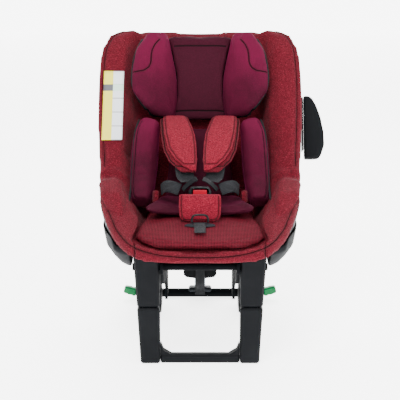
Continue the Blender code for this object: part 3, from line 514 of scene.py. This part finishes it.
def strip(name, points, across, width, thickness, material, steps=8, waves=.0, widths=None, to_one=False):
    """A flat strap along a smooth path, with UVs in metres or from 0 to 1."""
    path = smooth_path(points, steps)
    across = np.asarray(across, float)
    columns = 9
    top, bottom, texture, down = [], [], [], .0
    length = np.linalg.norm(np.diff(path, axis=0), axis=1).sum()
    for i, here in enumerate(path):
        ahead = unit(ahead_of(path, i))
        side = unit(across - ahead * (across @ ahead))
        up = np.cross(side, ahead)
        share = i / (len(path) - 1)
        half = (width if widths is None else widths(share)) / 2
        if i:
            down += np.linalg.norm(here - path[i - 1])
        row, under = [], []
        for c in range(columns):
            u = 2 * c / (columns - 1) - 1
            ripple = waves * math.sin(5.5 * u + 9 * share) * math.sin(math.pi * share)
            edge = thickness * .5 * (1 - .55 * abs(u) ** 6)
            base = here + side * (u * half)
            row.append(base + up * (edge + ripple))
            under.append(base - up * (edge - ripple))
            texture.append((.5 + u / 2, down / length) if to_one else (u * half, down))
        top.append(row)
        bottom.append(under)
    piece = slab(name, top, bottom, material)
    layer = piece.data.uv_layers.new(name="UVMap")
    grid = np.vstack([np.array(top).reshape(-1, 3), np.array(bottom).reshape(-1, 3)])
    texture = np.array(texture + texture)
    nearest = [int(np.argmin(((grid - place) ** 2).sum(1))) for place in vertices(piece)]
    for loop in piece.data.loops:
        layer.data[loop.index].uv = texture[nearest[loop.vertex_index]]
    return piece


def tube(name, points, radius, material, steps=6, sides=8):
    """A round cord sewn along a path."""
    path = smooth_path(points, steps)
    rings = []
    side = None
    for i, here in enumerate(path):
        ahead = unit(ahead_of(path, i))
        if side is None:
            side = np.cross(ahead, (.3, .5, .8))
        side = unit(side - ahead * (side @ ahead))
        up = np.cross(ahead, side)
        taper = 1.0 if 0 < i < len(path) - 1 else .6
        angles = [2 * math.pi * k / sides for k in range(sides)]
        rings.append([here + radius * taper * (math.cos(a) * side + math.sin(a) * up) for a in angles])
    piece = ring_loft(name, rings, material)
    piece.data.uv_layers.new(name="UVMap")
    return piece


def stitch_tree():
    """Geometry nodes that lay a row of stitches along a line."""
    tree = bpy.data.node_groups.new("stitch_row", "GeometryNodeTree")
    face = tree.interface
    face.new_socket("Geometry", in_out="INPUT", socket_type="NodeSocketGeometry")
    for name, value in (("Pitch", .0045), ("Stitch Length", .0032), ("Thread Radius", .00035)):
        socket = face.new_socket(name, in_out="INPUT", socket_type="NodeSocketFloat")
        socket.default_value = value
    face.new_socket("Thread", in_out="INPUT", socket_type="NodeSocketMaterial")
    face.new_socket("Geometry", in_out="OUTPUT", socket_type="NodeSocketGeometry")

    def node(kind, **values):
        made = tree.nodes.new(kind)
        for key, value in values.items():
            setattr(made, key, value)
        return made

    start, end = node("NodeGroupInput"), node("NodeGroupOutput")
    curve = node("GeometryNodeMeshToCurve")
    even = node("GeometryNodeResampleCurve", mode="LENGTH")
    spots = node("GeometryNodeCurveToPoints", mode="EVALUATED")
    thread = node("GeometryNodeMeshCylinder")
    thread.inputs["Vertices"].default_value = 5
    align = node("FunctionNodeAlignEulerToVector", axis="Z")
    place = node("GeometryNodeInstanceOnPoints")
    real = node("GeometryNodeRealizeInstances")
    paint = node("GeometryNodeSetMaterial")
    for giver, output, taker, entry in (
            (start, "Geometry", curve, "Mesh"), (curve, "Curve", even, "Curve"),
            (start, "Pitch", even, "Length"), (even, "Curve", spots, "Curve"),
            (start, "Thread Radius", thread, "Radius"), (start, "Stitch Length", thread, "Depth"),
            (spots, "Tangent", align, "Vector"), (spots, "Points", place, "Points"),
            (thread, "Mesh", place, "Instance"), (align, "Rotation", place, "Rotation"),
            (place, "Instances", real, "Geometry"), (real, "Geometry", paint, "Geometry"),
            (start, "Thread", paint, "Material"), (paint, "Geometry", end, "Geometry")):
        tree.links.new(giver.outputs[output], taker.inputs[entry])
    return tree


def stitches(name, lines, body, material="thread", pitch=.0045):
    """Rows of stitches along some lines, as one mesh."""
    points, edges = [], []
    for line in lines:
        first = len(points)
        points += [tuple(p) for p in line]
        edges += [(i, i + 1) for i in range(first, len(points) - 1)]
    mesh = bpy.data.meshes.new(name)
    mesh.from_pydata(points, edges, [])
    piece = new_object(name, mesh)
    tree = bpy.data.node_groups.get("stitch_row") or stitch_tree()
    modifier = piece.modifiers.new("stitches", "NODES")
    modifier.node_group = tree
    values = {"Pitch": pitch, "Thread": finish(material)}
    for item in tree.interface.items_tree:
        if item.in_out == "INPUT" and item.name in values:
            modifier[item.identifier] = values[item.name]
    bake(piece)
    piece.data.uv_layers.new(name="UVMap")
    return fit_in(piece, body)


# Shapes shared by pieces

OUTER_LINE = [(0, -.048, .2277), (.0611, -.048, .2271), (.1194, -.044, .2309), (.1487, -.022, .2374),
              (.1763, .015, .2524), (.1943, .05, .272), (.2086, .09, .2946), (.2201, .135, .3173),
              (.2247, .175, .3342), (.2212, .205, .346)]
SEAM_LINE = [(0, -.047, .2415), (.0551, -.046, .2433), (.0993, -.041, .2491), (.141, -.018, .2586),
             (.17, .022, .2766), (.1838, .055, .2943), (.1971, .095, .312), (.2047, .14, .3249),
             (.2076, .178, .3357), (.2025, .205, .3474)]
INNER_LINE = [(0, -.038, .252), (.0551, -.037, .254), (.0993, -.031, .258), (.136, -.01, .264),
              (.132, .03, .274), (.126, .075, .285), (.135, .11, .2975), (.15, .15, .319),
              (.165, .183, .338), (.1785, .207, .347)]
UP = np.array((0, .374722, .927137))
OUT = np.array((0, -.927137, .374722))
FOOT = np.array((0, .352, .362))
RIM = [(-.038, .1215, .2235), (.0126, .1022, .2275), (.0714, .085, .2315), (.1223, .071, .2335),
       (.192, .0529, .234), (.2524, .0373, .229), (.2872, .0233, .213), (.3026, .0091, .188)]
PAD_PATH = [(.0505, .318, .462), (.0495, .282, .457), (.0465, .234, .4375), (.043, .188, .407),
            (.04, .148, .3755)]
BOLSTER_PATH = [(.1275, .158, .304), (.126, .215, .336), (.1235, .26, .386), (.121, .292, .428),
                (.112, .312, .456)]


def at(x, along, out):
    """A point on the back: across, up the back and out from it."""
    point = FOOT + UP * along + OUT * out
    return (x, point[1], point[2])


def mirrored(line, side=-1):
    return [(side * x, y, z) for x, y, z in line]


def both(*lines):
    """Lines and their mirror images."""
    return [mirrored(line, side) for line in lines for side in (1, -1)]


def whole(line):
    """A line from the left end through the middle to the right end."""
    return mirrored(line[:0:-1]) + list(line)


def moved(line, x=.0, out=.0, up=.0):
    """A line shifted across, out from the back and up."""
    return [(px + x, py - out, pz + up) for px, py, pz in line]


def merged_copy(node, name, material, dissolve=False):
    """A copy of a CAD node's mesh, with its loose triangles joined up."""
    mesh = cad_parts[node].data.copy()
    piece = new_object(name, mesh)
    form = bmesh.new()
    form.from_mesh(mesh)
    bmesh.ops.remove_doubles(form, verts=form.verts, dist=1e-5)
    if dissolve:
        bmesh.ops.dissolve_limit(form, angle_limit=math.radians(1.0), verts=form.verts, edges=form.edges)
    form.to_mesh(mesh)
    form.free()
    mesh.materials.clear()
    mesh.materials.append(finish(material))
    mesh.shade_smooth()
    return piece


def relaxed(piece, passes):
    relax = piece.modifiers.new("relaxed", "SMOOTH")
    relax.factor, relax.iterations = .5, passes
    return bake(piece)


def pad(piece, body, nodes, size=.005, passes=6, cap=.008, pressure=4.0, seams=(), pins=None,
        fill=.6, shape=None, stitched=None, depth=.0018, width=.0055):
    """Evens and smooths a padded piece, and queues it to be inflated and then sewn."""
    remeshed(piece, size)
    relaxed(piece, passes)
    if shape is not None:
        put(piece, shape(piece))
    points = vertices(piece)
    hold = distance_to_lines(points, [smooth_path(line, 4) for line in seams]) < size * 1.3
    if pins is not None:
        hold |= pins(points)
    SOFT.append({"piece": piece, "rest": points, "hold": hold, "pressure": pressure, "cap": cap,
                 "body": body, "nodes": nodes, "seams": seams, "fill": fill,
                 "stitched": stitched, "depth": depth, "width": width})
    return piece


def soft_copy(node, name, material, body="seat", **how):
    """A padded copy of a soft CAD node."""
    pad(merged_copy(node, name, material), body, [node], **how)


def inflate():
    """Runs one cloth simulation for every queued piece, keeps its result, and sews the seams."""
    for item in SOFT:
        add_cloth(item["piece"], item["hold"], item["pressure"])
    for number in range(1, FRAMES + 1):
        bpy.context.scene.frame_set(number)
    for item in SOFT:
        piece = item["piece"]
        if piece.modifiers:
            bake(piece)
            change = vertices(piece) - item["rest"]
            length = np.linalg.norm(change, axis=1)
            share = np.minimum(1.0, item["cap"] / np.maximum(length, 1e-9))
            put(piece, item["rest"] + change * share[:, None])
    bpy.context.scene.frame_set(1)
    for item in SOFT:
        sew(item)


def add_cloth(piece, hold, pressure):
    """Makes a piece swell under pressure, apart from the points that are held."""
    group = piece.vertex_groups.new(name="sewn")
    group.add([int(i) for i in np.nonzero(hold)[0]], 1.0, "REPLACE")
    cloth = piece.modifiers.new("padding", "CLOTH")
    for key, value in (("quality", 3), ("mass", .25), ("tension_stiffness", 18.0),
                       ("compression_stiffness", 12.0), ("bending_stiffness", .6),
                       ("use_pressure", True), ("uniform_pressure_force", pressure),
                       ("vertex_group_mass", "sewn")):
        setattr(cloth.settings, key, value)
    cloth.settings.effector_weights.gravity = .0
    cloth.collision_settings.use_collision = False
    cloth.point_cache.frame_start = 1
    cloth.point_cache.frame_end = FRAMES


def sew(item):
    """Subdivides a padded piece, sinks its seams and lays their stitches."""
    piece = item["piece"]
    piece.vertex_groups.clear()
    refined(piece)
    piece.data.shade_smooth()
    lines = mark_seams(piece, item["seams"], item["depth"], item["width"])
    fit_in(piece, item["body"], *item["nodes"], fill=item["fill"])
    if item["stitched"] and lines:
        rows = [row for line in lines for row in beside(piece, line, item["stitched"])]
        stitches(piece.name + "_stitches", rows, item["body"])


def beside(piece, line, gap):
    """Two lines on a piece's surface, one on each side of a seam."""
    line = smooth_path(line, 2)
    tree = BVHTree.FromObject(piece, bpy.context.evaluated_depsgraph_get())
    rows = ([], [])
    for k, here in enumerate(line):
        _, normal, _, _ = tree.find_nearest(Vector(here))
        side = np.cross(ahead_of(line, k), np.array(normal))
        side = side / max(np.linalg.norm(side), 1e-9)
        for row, way in zip(rows, (-1, 1)):
            place, normal, _, _ = tree.find_nearest(Vector(here + side * way * gap))
            row.append(np.array(place) + np.array(normal) * .0002)
    return [row for row in rows if len(row) > 1]


# Pieces

def make_rim():
    """The arm rests and the front lip: one padded roll round the seat's edge."""
    rings = []
    for o, s, i in zip(whole(OUTER_LINE), whole(SEAM_LINE), whole(INNER_LINE)):
        o, s, i = np.array(o), np.array(s), np.array(i)
        inward = (i - o) * np.array((1, 1, 0))
        inward = inward / max(np.linalg.norm(inward), 1e-6)
        side = min(1.0, max(.0, (abs(o[0]) - .1) / .06))
        top = s + (i - s) * .45 + np.array((0, 0, .001 + .0065 * side))
        low_in = i - np.array((0, 0, .012 - .004 * side)) - inward * .006 * side
        low_out = o + inward * .012 + np.array((0, 0, .001))
        rings.append([o * .5 + s * .5 - inward * (.001 + .002 * side), s, top, i, low_in, low_out,
                      o + inward * .002])
    rings = np.array(rings)
    path = np.array([smooth_path(rings[:, k], 4) for k in range(rings.shape[1])]).transpose(1, 0, 2)
    for row, share in ((0, .5), (1, .8), (2, .94), (-3, .94), (-2, .8), (-1, .5)):
        path[row] = path[row].mean(0) + (path[row] - path[row].mean(0)) * share
    piece = ring_loft("arm_and_lip_roll", path, "melange")
    corner = [(.133, -.02, .2625), (.1345, -.032, .256), (.135, -.036, .245), (.136, -.034, .233)]
    pad(piece, "seat", ["shell_cover"], size=.0042, passes=4, cap=.005, pressure=3.0,
        seams=[whole(SEAM_LINE), *both(corner)], stitched=.003, depth=.0024, width=.006,
        pins=lambda p: p[:, 2] < np.interp(p[:, 1], (-.05, .2), (.229, .31)))


def under_rim(piece):
    """The cover's points, with the band below the arm and lip roll drawn in and the top middle raised."""
    points = vertices(piece)
    rolls = [whole(SEAM_LINE), whole(INNER_LINE), whole(OUTER_LINE)]
    near = np.clip(1.6 - distance_to_lines(points, rolls) / .018, 0, 1)
    near *= np.clip((.212 - points[:, 1]) / .01, 0, 1)
    points = points - normals(piece) * (near * .0085)[:, None]
    high = np.clip(((points - FOOT) @ UP - .262) / .03, 0, 1)
    middle = 1 - np.clip((np.abs(points[:, 0]) - .125) / .05, 0, 1)
    points[:, 2] += .0095 * high * middle
    return points


def make_cover():
    """The padded cover over the bucket: its side bolsters, back and top band."""
    edge = [at(h - .012, a, o + .004) for a, o, h in RIM]
    seams = both(edge)

    def resting(points):
        back = (points - FOOT) @ OUT
        label = (points[:, 0] < -.165) & (points[:, 2] > .4) & (points[:, 2] < .58)
        return ((back < .014) & (points[:, 2] > .3)) | (points[:, 2] < .24) | label

    soft_copy("shell_cover", "padded_cover", "melange", size=.005, passes=6,
              cap=.006, pressure=3.5, seams=seams, pins=resting, stitched=.0032, depth=.0026, width=.007,
              shape=under_rim)


def make_panel():
    """The mesh panel over the seat cushion."""

    def to_the_roll(piece):
        points = vertices(piece)
        points[:, 0] *= 1.035
        front = np.clip((.03 - points[:, 1]) / .05, 0, 1)
        points[:, 1] -= .0035 * front
        points[:, 2] -= .0035 * front * (points[:, 2] > .262)
        return points

    soft_copy("seat_cushion", "mesh_seat_panel", "mesh", size=.004, passes=8,
              cap=.005, pressure=3.0, fill=.5, shape=to_the_roll)


def make_insert():
    """The infant insert: seat roll, back and two piped side bolsters."""

    def fuller(piece):
        points = vertices(piece)
        upper = np.clip((points[:, 2] - .284) / .008, 0, 1)
        points[:, 2] += upper * (.003 + .008 * (points[:, 0] / .1) ** 2)
        return points

    def broader(piece):
        points = vertices(piece)
        middle = np.sign(points[:, 0]) * .1245
        points[:, 0] = middle + (points[:, 0] - middle) * 1.14
        return points

    soft_copy("insert_cushion", "insert_seat_roll", "low_jersey", size=.004,
              passes=4, cap=.005, fill=.7, shape=fuller)
    soft_copy("insert_back", "insert_back_pad", "low_jersey", size=.004,
              passes=5, cap=.004)
    for word, side in SIDES:
        outer = mirrored(moved(BOLSTER_PATH, .021, .022, .01), side)
        name = "insert_bolster_" + word
        soft_copy(name, "padded_" + name, "bolster_jersey", size=.004, passes=6,
                  cap=.006, seams=[outer], fill=.7, shape=broader)
        cord = tube(f"bolster_piping_{word}", mirrored(moved(BOLSTER_PATH, .0245, .016, .006), side), .0022,
                    "piping")
        fit_in(cord, "seat")


def make_headrest():
    """The headrest: a dark shell, a mesh centre and two padded wings."""
    moulding("headrest_shell", "plastic", "headrest", .003, 10)
    folds = [[at(x, a, .03) for x in (-.06, -.03, 0, .03, .06)] for a in (.104, .258)]

    def taller(points, most):
        """Lengthens a headrest piece at its top."""
        share = np.clip(((points - FOOT) @ UP - .2) / .07, 0, 1)
        return points + UP * most * share[:, None]

    def wider(piece):
        return taller(vertices(piece) * np.array((1.13, 1.0, 1.0)), .007)

    soft_copy("headrest_centre_pad", "padded_headrest_centre", "centre_mesh", "headrest",
              size=.004, passes=6, cap=.004, seams=folds, shape=wider)

    def nearer(piece):
        points = vertices(piece)
        reach = np.abs(points[:, 0])
        points[:, 0] -= np.sign(points[:, 0]) * .004 * np.clip((.11 - reach) / .05, 0, 1)
        points[:, 0] *= 1 + .03 * np.clip((reach - .11) / .04, 0, 1)
        return taller(points, .011)

    for word, side in SIDES:
        low = mirrored([at(x, a, .075) for x, a in ((.084, .272), (.1, .255), (.108, .236), (.11, .212),
                                                   (.118, .196), (.134, .187), (.158, .184))], side)
        name = "headrest_wing_" + word
        soft_copy(name, "padded_" + name, "jersey", "headrest", size=.004, passes=24,
                  cap=.006, seams=[low], fill=.7, stitched=.0025, shape=nearer)


def make_piping():
    """A dark cord sewn round the outer edge of each headrest wing."""
    for word, side in SIDES:
        points = vertices(bpy.data.objects["padded_headrest_wing_" + word])
        along = (points - FOOT) @ UP
        line = []
        for height in np.linspace(along.min() + .01, along.max() - .014, 11):
            near = points[np.abs(along - height) < .005]
            line.append(near[np.argmax(near[:, 0] * side)] + (.0008 * side, .0015, 0))
        line = smooth_path(line, 1)
        for _ in range(2):
            line[1:-1] = (line[:-2] + 2 * line[1:-1] + line[2:]) / 4
        fit_in(tube(f"headrest_piping_{word}", line, .003, "piping"), "headrest")


def sewn_pad(name, path, inner, outer, low, high, material, nodes):
    """A flat pad along a path, between two edges given along it, with a crown and a stitched border."""
    path = smooth_path(path, 10)
    share = np.linspace(0, 1, len(path))
    edges = [np.interp(share, *zip(*edge)) for edge in (inner, outer)]
    columns = np.sin(np.linspace(-1, 1, 15) * math.pi / 2)
    top, bottom, border = [], [], []
    side = np.sign(outer[0][1])
    for k, here in enumerate(path):
        out = unit(np.cross(ahead_of(path, k), (1, 0, 0)))
        out = out if out[1] < 0 else -out
        ends = min(1.0, 12 * share[k], 12 * (1 - share[k])) ** .5
        middle, half = (edges[0][k] + edges[1][k]) / 2, abs(edges[1][k] - edges[0][k]) / 2
        base = np.array((0, here[1], here[2]))
        rise = [high * (.3 + .7 * (1 - abs(u) ** 5) ** .5 * ends) for u in columns]
        top.append([base + (middle + u * half, 0, 0) + out * r for u, r in zip(columns, rise)])
        bottom.append([base + (middle + u * half, 0, 0) + out * low for u in columns])
        if .04 < share[k] < .95:
            gap = min(.0045, half * .5)
            border.append([base + (middle + w * (half - gap), 0, 0) + out * high for w in (-1, 1)])
    top, bottom = np.array(top), np.array(bottom)
    if side < 0:
        top, bottom = top[:, ::-1], bottom[:, ::-1]
    piece = slab(name, top, bottom, material)
    rim = [row[0] for row in border] + [row[1] for row in border[::-1]]
    pad(piece, "seat", nodes, size=.0028, passes=3, cap=.002, pressure=2.0,
        seams=[rim], fill=.5, stitched=.0014, depth=.0016, width=.0045)


def make_pads():
    """The two-layer shoulder pads, the crotch pad and the two belt holders."""
    inner = ((0, .03), (.25, .0225), (.5, .0105), (.7, .006), (.85, .0055), (1, .008))
    outer = ((0, .084), (.25, .0835), (.5, .079), (.7, .07), (.85, .054), (.94, .036), (1, .018))
    wide = ((0, .09), (.25, .09), (.5, .086), (.7, .08), (.85, .068), (1, .04))
    for word, side in SIDES:
        turned = [tuple((t, side * x) for t, x in edge) for edge in (inner, outer, wide)]
        nodes = [f"shoulder_pad_{word}"]
        sewn_pad(f"shoulder_pad_top_{word}", moved(PAD_PATH, 0, .0015), turned[0], turned[1], -.0005, .0085,
                 "pad_melange", nodes)
        sewn_pad(f"shoulder_pad_under_{word}", PAD_PATH, turned[0], turned[2], -.0075, -.001,
                 "melange", nodes)
        name = "belt_holder_" + word
        soft_copy(name, "sewn_" + name, "melange", size=.0025, passes=2,
                  cap=.001, fill=.4)
    path = [(0, .0815, .341), (0, .0775, .326), (0, .0705, .302), (0, .0645, .2845)]
    width = ((0, .0425), (.06, .044), (.5, .0445), (.78, .043), (.9, .038), (.97, .028), (1, .018))
    sewn_pad("sewn_crotch_pad", path, tuple((t, -x) for t, x in width), width, -.006, .0075,
             "pad_melange", ["crotch_pad"])


def make_webbing():
    """The harness straps, the adjuster's strap and the release strap."""
    shoulder = [(.05, .332, .448), (.047, .29, .445), (.044, .242, .4265), (.038, .196, .396),
                (.032, .156, .3645), (.022, .1275, .358)]
    hip = [(.043, .1255, .34), (.058, .129, .345), (.074, .142, .343), (.084, .158, .332)]
    crotch = [(0, .099, .2962), (0, .1, .302), (0, .101, .3085)]
    adjuster = [(0, .0405, .2862), (0, .037, .2892), (0, .03, .2908), (0, .02, .2872),
                (0, .006, .2852), (0, -.005, .2817)]
    pull = [(0, .4065, .01), (0, .405, .024), (0, .395, .044), (0, .3955, .08), (-.003, .396, .11),
            (-.004, .397, .14)]
    level, tilted = (1, 0, 0), (0, .45, 1)
    rows = []
    for word, side in SIDES:
        rows += [("shoulder_webbing_" + word, "seat", "shoulder_strap_" + word, mirrored(shoulder, side),
                  level, .038, .0016, 10, .0006),
                 ("hip_webbing_" + word, "seat", "hip_strap_" + word, mirrored(hip, side),
                  tilted, .026, .0016, 10, .0007)]
    rows += [("crotch_webbing", "seat", "crotch_strap", crotch, level, .024, .0018, 8, .0),
             ("adjuster_webbing", "seat", "adjuster_strap", adjuster, level, .0235, .0016, 10, .0008),
             ("pull_webbing", "anchor_frame", "release_strap", pull, level, .024, .0016, 10, .001,
              lambda t: .024 if t < .5 else .024 - .018 * (t - .5) / .5)]
    for name, body, node, path, across, width, thickness, *rest in rows:
        fit_in(strip(name, path, across, width, thickness, "webbing", *rest), body, node)


def make_buckle():
    """The buckle, its tongues and red button, and the harness adjuster."""
    solid_copies(("buckle_tongue_*", "gloss_plastic", "seat", .0012),
                 ("buckle_body", "gloss_plastic", "seat", .0025),
                 ("buckle_button", "red", "buckle_release", .0012),
                 ("adjuster_bezel", "grey_plastic", "seat", .001),
                 ("adjuster_lever", "gloss_plastic", "adjuster_release", .0008))
    arch = [(-.0165, .044, .289), (-.0165, .0465, .298), (-.012, .0485, .3035), (0, .049, .3048),
            (.012, .0485, .3035), (.0165, .0465, .298), (.0165, .044, .289)]
    fit_in(tube("adjuster_ring", arch, .0022, "gloss_plastic", 6, 12), "adjuster_release")


def make_label():
    """A blank two-column tag sewn to the left bolster."""
    path = [at(-.197, along, out + .0012) for along, out in
            ((.022, .1002), (.0714, .086), (.1223, .0721), (.192, .0539))]
    fit_in(strip("blank_tag", path, (1, 0, 0), .046, .0012, "tag", to_one=True), "seat", "sewn_label")


def make_shell():
    """The plastic bucket, its side cheeks, the foam liner and the side wing."""
    solid_copies(("seat_shell", "plastic", "seat", .001), ("impact_liner", "foam", "seat", 0),
                 ("wing_bracket", "plastic", "seat", .001))
    moulding("side_wing", "plastic", "wing", .0025, 8)
    for word, _ in SIDES:
        moulding("side_cheek_" + word, "cheek_plastic", "seat", .0032, 14)


def make_support():
    """The front support: sleeves, shoes, tubes, foot bar and its corners."""
    solid_copies(("leg_sleeve_*", "plastic", "support_sleeves", .003),
                 ("leg_shoe_*", "plastic", "support_feet", .003),
                 ("leg_tube_*", "steel", "support_feet", .002),
                 ("foot_bar", "plastic", "support_feet", .003))
    outline = [(.0822, .018), (.0822, .044), (.08, .035), (.0735, .0255), (.06, .0185)]
    for word, side in SIDES:
        rings = [[(side * x, y, z) for x, z in outline] for y in (-.0085, .0085)]
        fit_in(rounded_edges(ring_loft("foot_corner_" + word, rings, "plastic"), .0012), "support_feet")


def make_base():
    """The base: side plates, guide rails and rods."""
    solid_copies(("side_plate_*", "steel", "base", .0008), ("guide_rail_*", "plastic", "base", .002),
                 ("pivot_rod", "steel", "base", .0008), ("tie_rod", "steel", "base", .0008))


def make_anchor():
    """The rear frame: arms, connectors, cross bar, saddle, post, housing and release tabs."""
    solid_copies(("anchor_arm_*", "steel", "anchor_frame", .001),
                 ("connector_*", "grey_plastic", "anchor_frame", .002),
                 ("release_tab_*", "green", "tab_*", .0015), ("cross_bar", "steel", "anchor_frame", 0),
                 ("bar_saddle", "grey_plastic", "anchor_frame", .0015),
                 ("lock_post", "zinc", "anchor_frame", .001),
                 ("lock_housing", "plastic", "anchor_frame", .003))


def aimed(name, data, place, target):
    """A lamp or camera at a place, pointing at a target."""
    thing = new_object(name, data)
    thing.location = place
    thing.rotation_euler = (Vector(target) - Vector(place)).to_track_quat("-Z", "Y").to_euler()
    return thing


def make_stage():
    """A pale floor, soft lights and the camera."""
    floor_size, wall_share, wall_back = 60.0, .2, 7.0
    floor_mesh = bpy.data.meshes.new("studio_floor")
    form = bmesh.new()
    bmesh.ops.create_grid(form, x_segments=2, y_segments=2, size=floor_size)
    form.to_mesh(floor_mesh)
    form.free()
    paper = Finish("floor_paper", .9, Emission_Color=(1.0, 1.0, 1.0, 1.0), Emission_Strength=3.4)
    grain = paper.noise(40.0, 2.0, .5)
    paper.set("Base Color", paper.mix(grain * .1, (.96, .96, .96), (.94, .94, .94)))
    floor_mesh.materials.append(paper.material)
    new_object("studio_floor", floor_mesh)
    wall_mesh = floor_mesh.copy()
    wall_mesh.transform(Matrix.Translation((0, wall_back, 0)) @ Matrix.Rotation(math.pi / 2, 4, "X")
                        @ Matrix.Scale(wall_share, 4))
    new_object("studio_wall", wall_mesh)
    world = bpy.data.worlds.new("studio_air")
    bpy.context.scene.world = world
    world.use_nodes = True
    sky = world.node_tree.nodes["Background"]
    sky.inputs["Color"].default_value = (1.0, 1.0, 1.0, 1.0)
    sky.inputs["Strength"].default_value = 1.3
    for name, place, size, power in (("key_softbox", (-.35, -1.1, 2.5), 1.1, 92.0),
                                     ("fill_softbox", (1.5, -1.3, 1.3), 1.2, 34.0),
                                     ("rear_softbox", (.3, 1.8, 2.1), 1.8, 36.0)):
        lamp = bpy.data.lights.new(name, "AREA")
        lamp.size, lamp.energy = size, power
        aimed(name, lamp, place, (0, .2, .3))
    view = bpy.context.scene.car_seat
    camera = bpy.data.cameras.new("studio_camera")
    camera.lens = view.lens
    target = Vector((0, .2, .2989))
    eye = target + Vector((0, -math.cos(view.elevation), math.sin(view.elevation))) * view.distance
    bpy.context.scene.camera = aimed("studio_camera", camera, eye, target)


# Add-on

def colour(name, description, default):
    return bpy.props.FloatVectorProperty(name=name, description=description, default=default,
                                         subtype="COLOR", size=3, min=0, max=1)


def number(name, description, default, unit):
    return bpy.props.FloatProperty(name=name, description=description, default=default, unit=unit)


class CarSeatSettings(bpy.types.PropertyGroup):
    """The sizes and colours that a user would change."""

    cloth: colour("Cloth", "Main shade of the cover's melange cloth", (.106, .0046, .0118))
    cloth_dark: colour("Cloth, dark thread", "Darkest thread of the cover's cloth", (.036, .0018, .0046))
    cloth_light: colour("Cloth, light thread", "Lightest thread of the cover's cloth", (.215, .017, .032))
    mesh: colour("Mesh", "Shade of the seat panel's mesh", (.086, .0034, .01))
    insert: colour("Insert", "Bright shade of the insert's jersey", (.074, .0019, .018))
    insert_dark: colour("Insert, dark", "Dark shade of the insert's jersey", (.0165, .0006, .0042))
    webbing: colour("Webbing", "Shade of the harness webbing", (.006, .0066, .008))
    plastic: colour("Plastic", "Shade of the black plastic", (.003, .0034, .0042))
    lens: number("Lens", "Camera's focal length", 102.2, "CAMERA")
    distance: number("Distance", "Camera's distance from the seat", 2.5, "LENGTH")
    elevation: number("Elevation", "Camera's height angle", math.radians(14), "ROTATION")


MAKES = (
    ("cover", "Padded cover", make_cover),
    ("rim", "Arm rests and lip", make_rim),
    ("panel", "Mesh seat panel", make_panel),
    ("insert", "Infant insert", make_insert),
    ("headrest", "Headrest", make_headrest),
    ("pads", "Harness pads", make_pads),
    ("padding", "Inflate and sew the pads", inflate),
    ("piping", "Headrest piping", make_piping),
    ("webbing", "Webbing", make_webbing),
    ("buckle", "Buckle and adjuster", make_buckle),
    ("label", "Blank label", make_label),
    ("shell", "Shell, cheeks and wing", make_shell),
    ("support", "Front support", make_support),
    ("base", "Base", make_base),
    ("anchor", "Rear frame", make_anchor),
    ("stage", "Studio", make_stage),
)


def operator(name, label, make):
    """An operator class that makes one piece or a group of like pieces."""

    def execute(self, context):
        make()
        return {"FINISHED"}

    made = {"bl_idname": "car_seat." + name, "bl_label": label, "__doc__": make.__doc__, "execute": execute}
    return type("CARSEAT_OT_" + name, (bpy.types.Operator,), made)


OPERATORS = [operator(*row) for row in MAKES]


class CARSEAT_PT_panel(bpy.types.Panel):
    """Lists the seat's settings and the pieces it is made of."""

    bl_label = "Car seat"
    bl_idname = "CARSEAT_PT_panel"
    bl_space_type = "VIEW_3D"
    bl_region_type = "UI"
    bl_category = "Car seat"

    def draw(self, context):
        for name in CarSeatSettings.__annotations__:
            self.layout.prop(context.scene.car_seat, name)
        for made in OPERATORS:
            self.layout.operator(made.bl_idname)


def register():
    for made in (CarSeatSettings, *OPERATORS, CARSEAT_PT_panel):
        bpy.utils.register_class(made)
    bpy.types.Scene.car_seat = bpy.props.PointerProperty(type=CarSeatSettings)


def unregister():
    del bpy.types.Scene.car_seat
    for made in (CARSEAT_PT_panel, *reversed(OPERATORS), CarSeatSettings):
        bpy.utils.unregister_class(made)


def main():
    register()
    for name, _, _ in MAKES:
        getattr(bpy.ops.car_seat, name)()


if __name__ == "__main__":
    main()
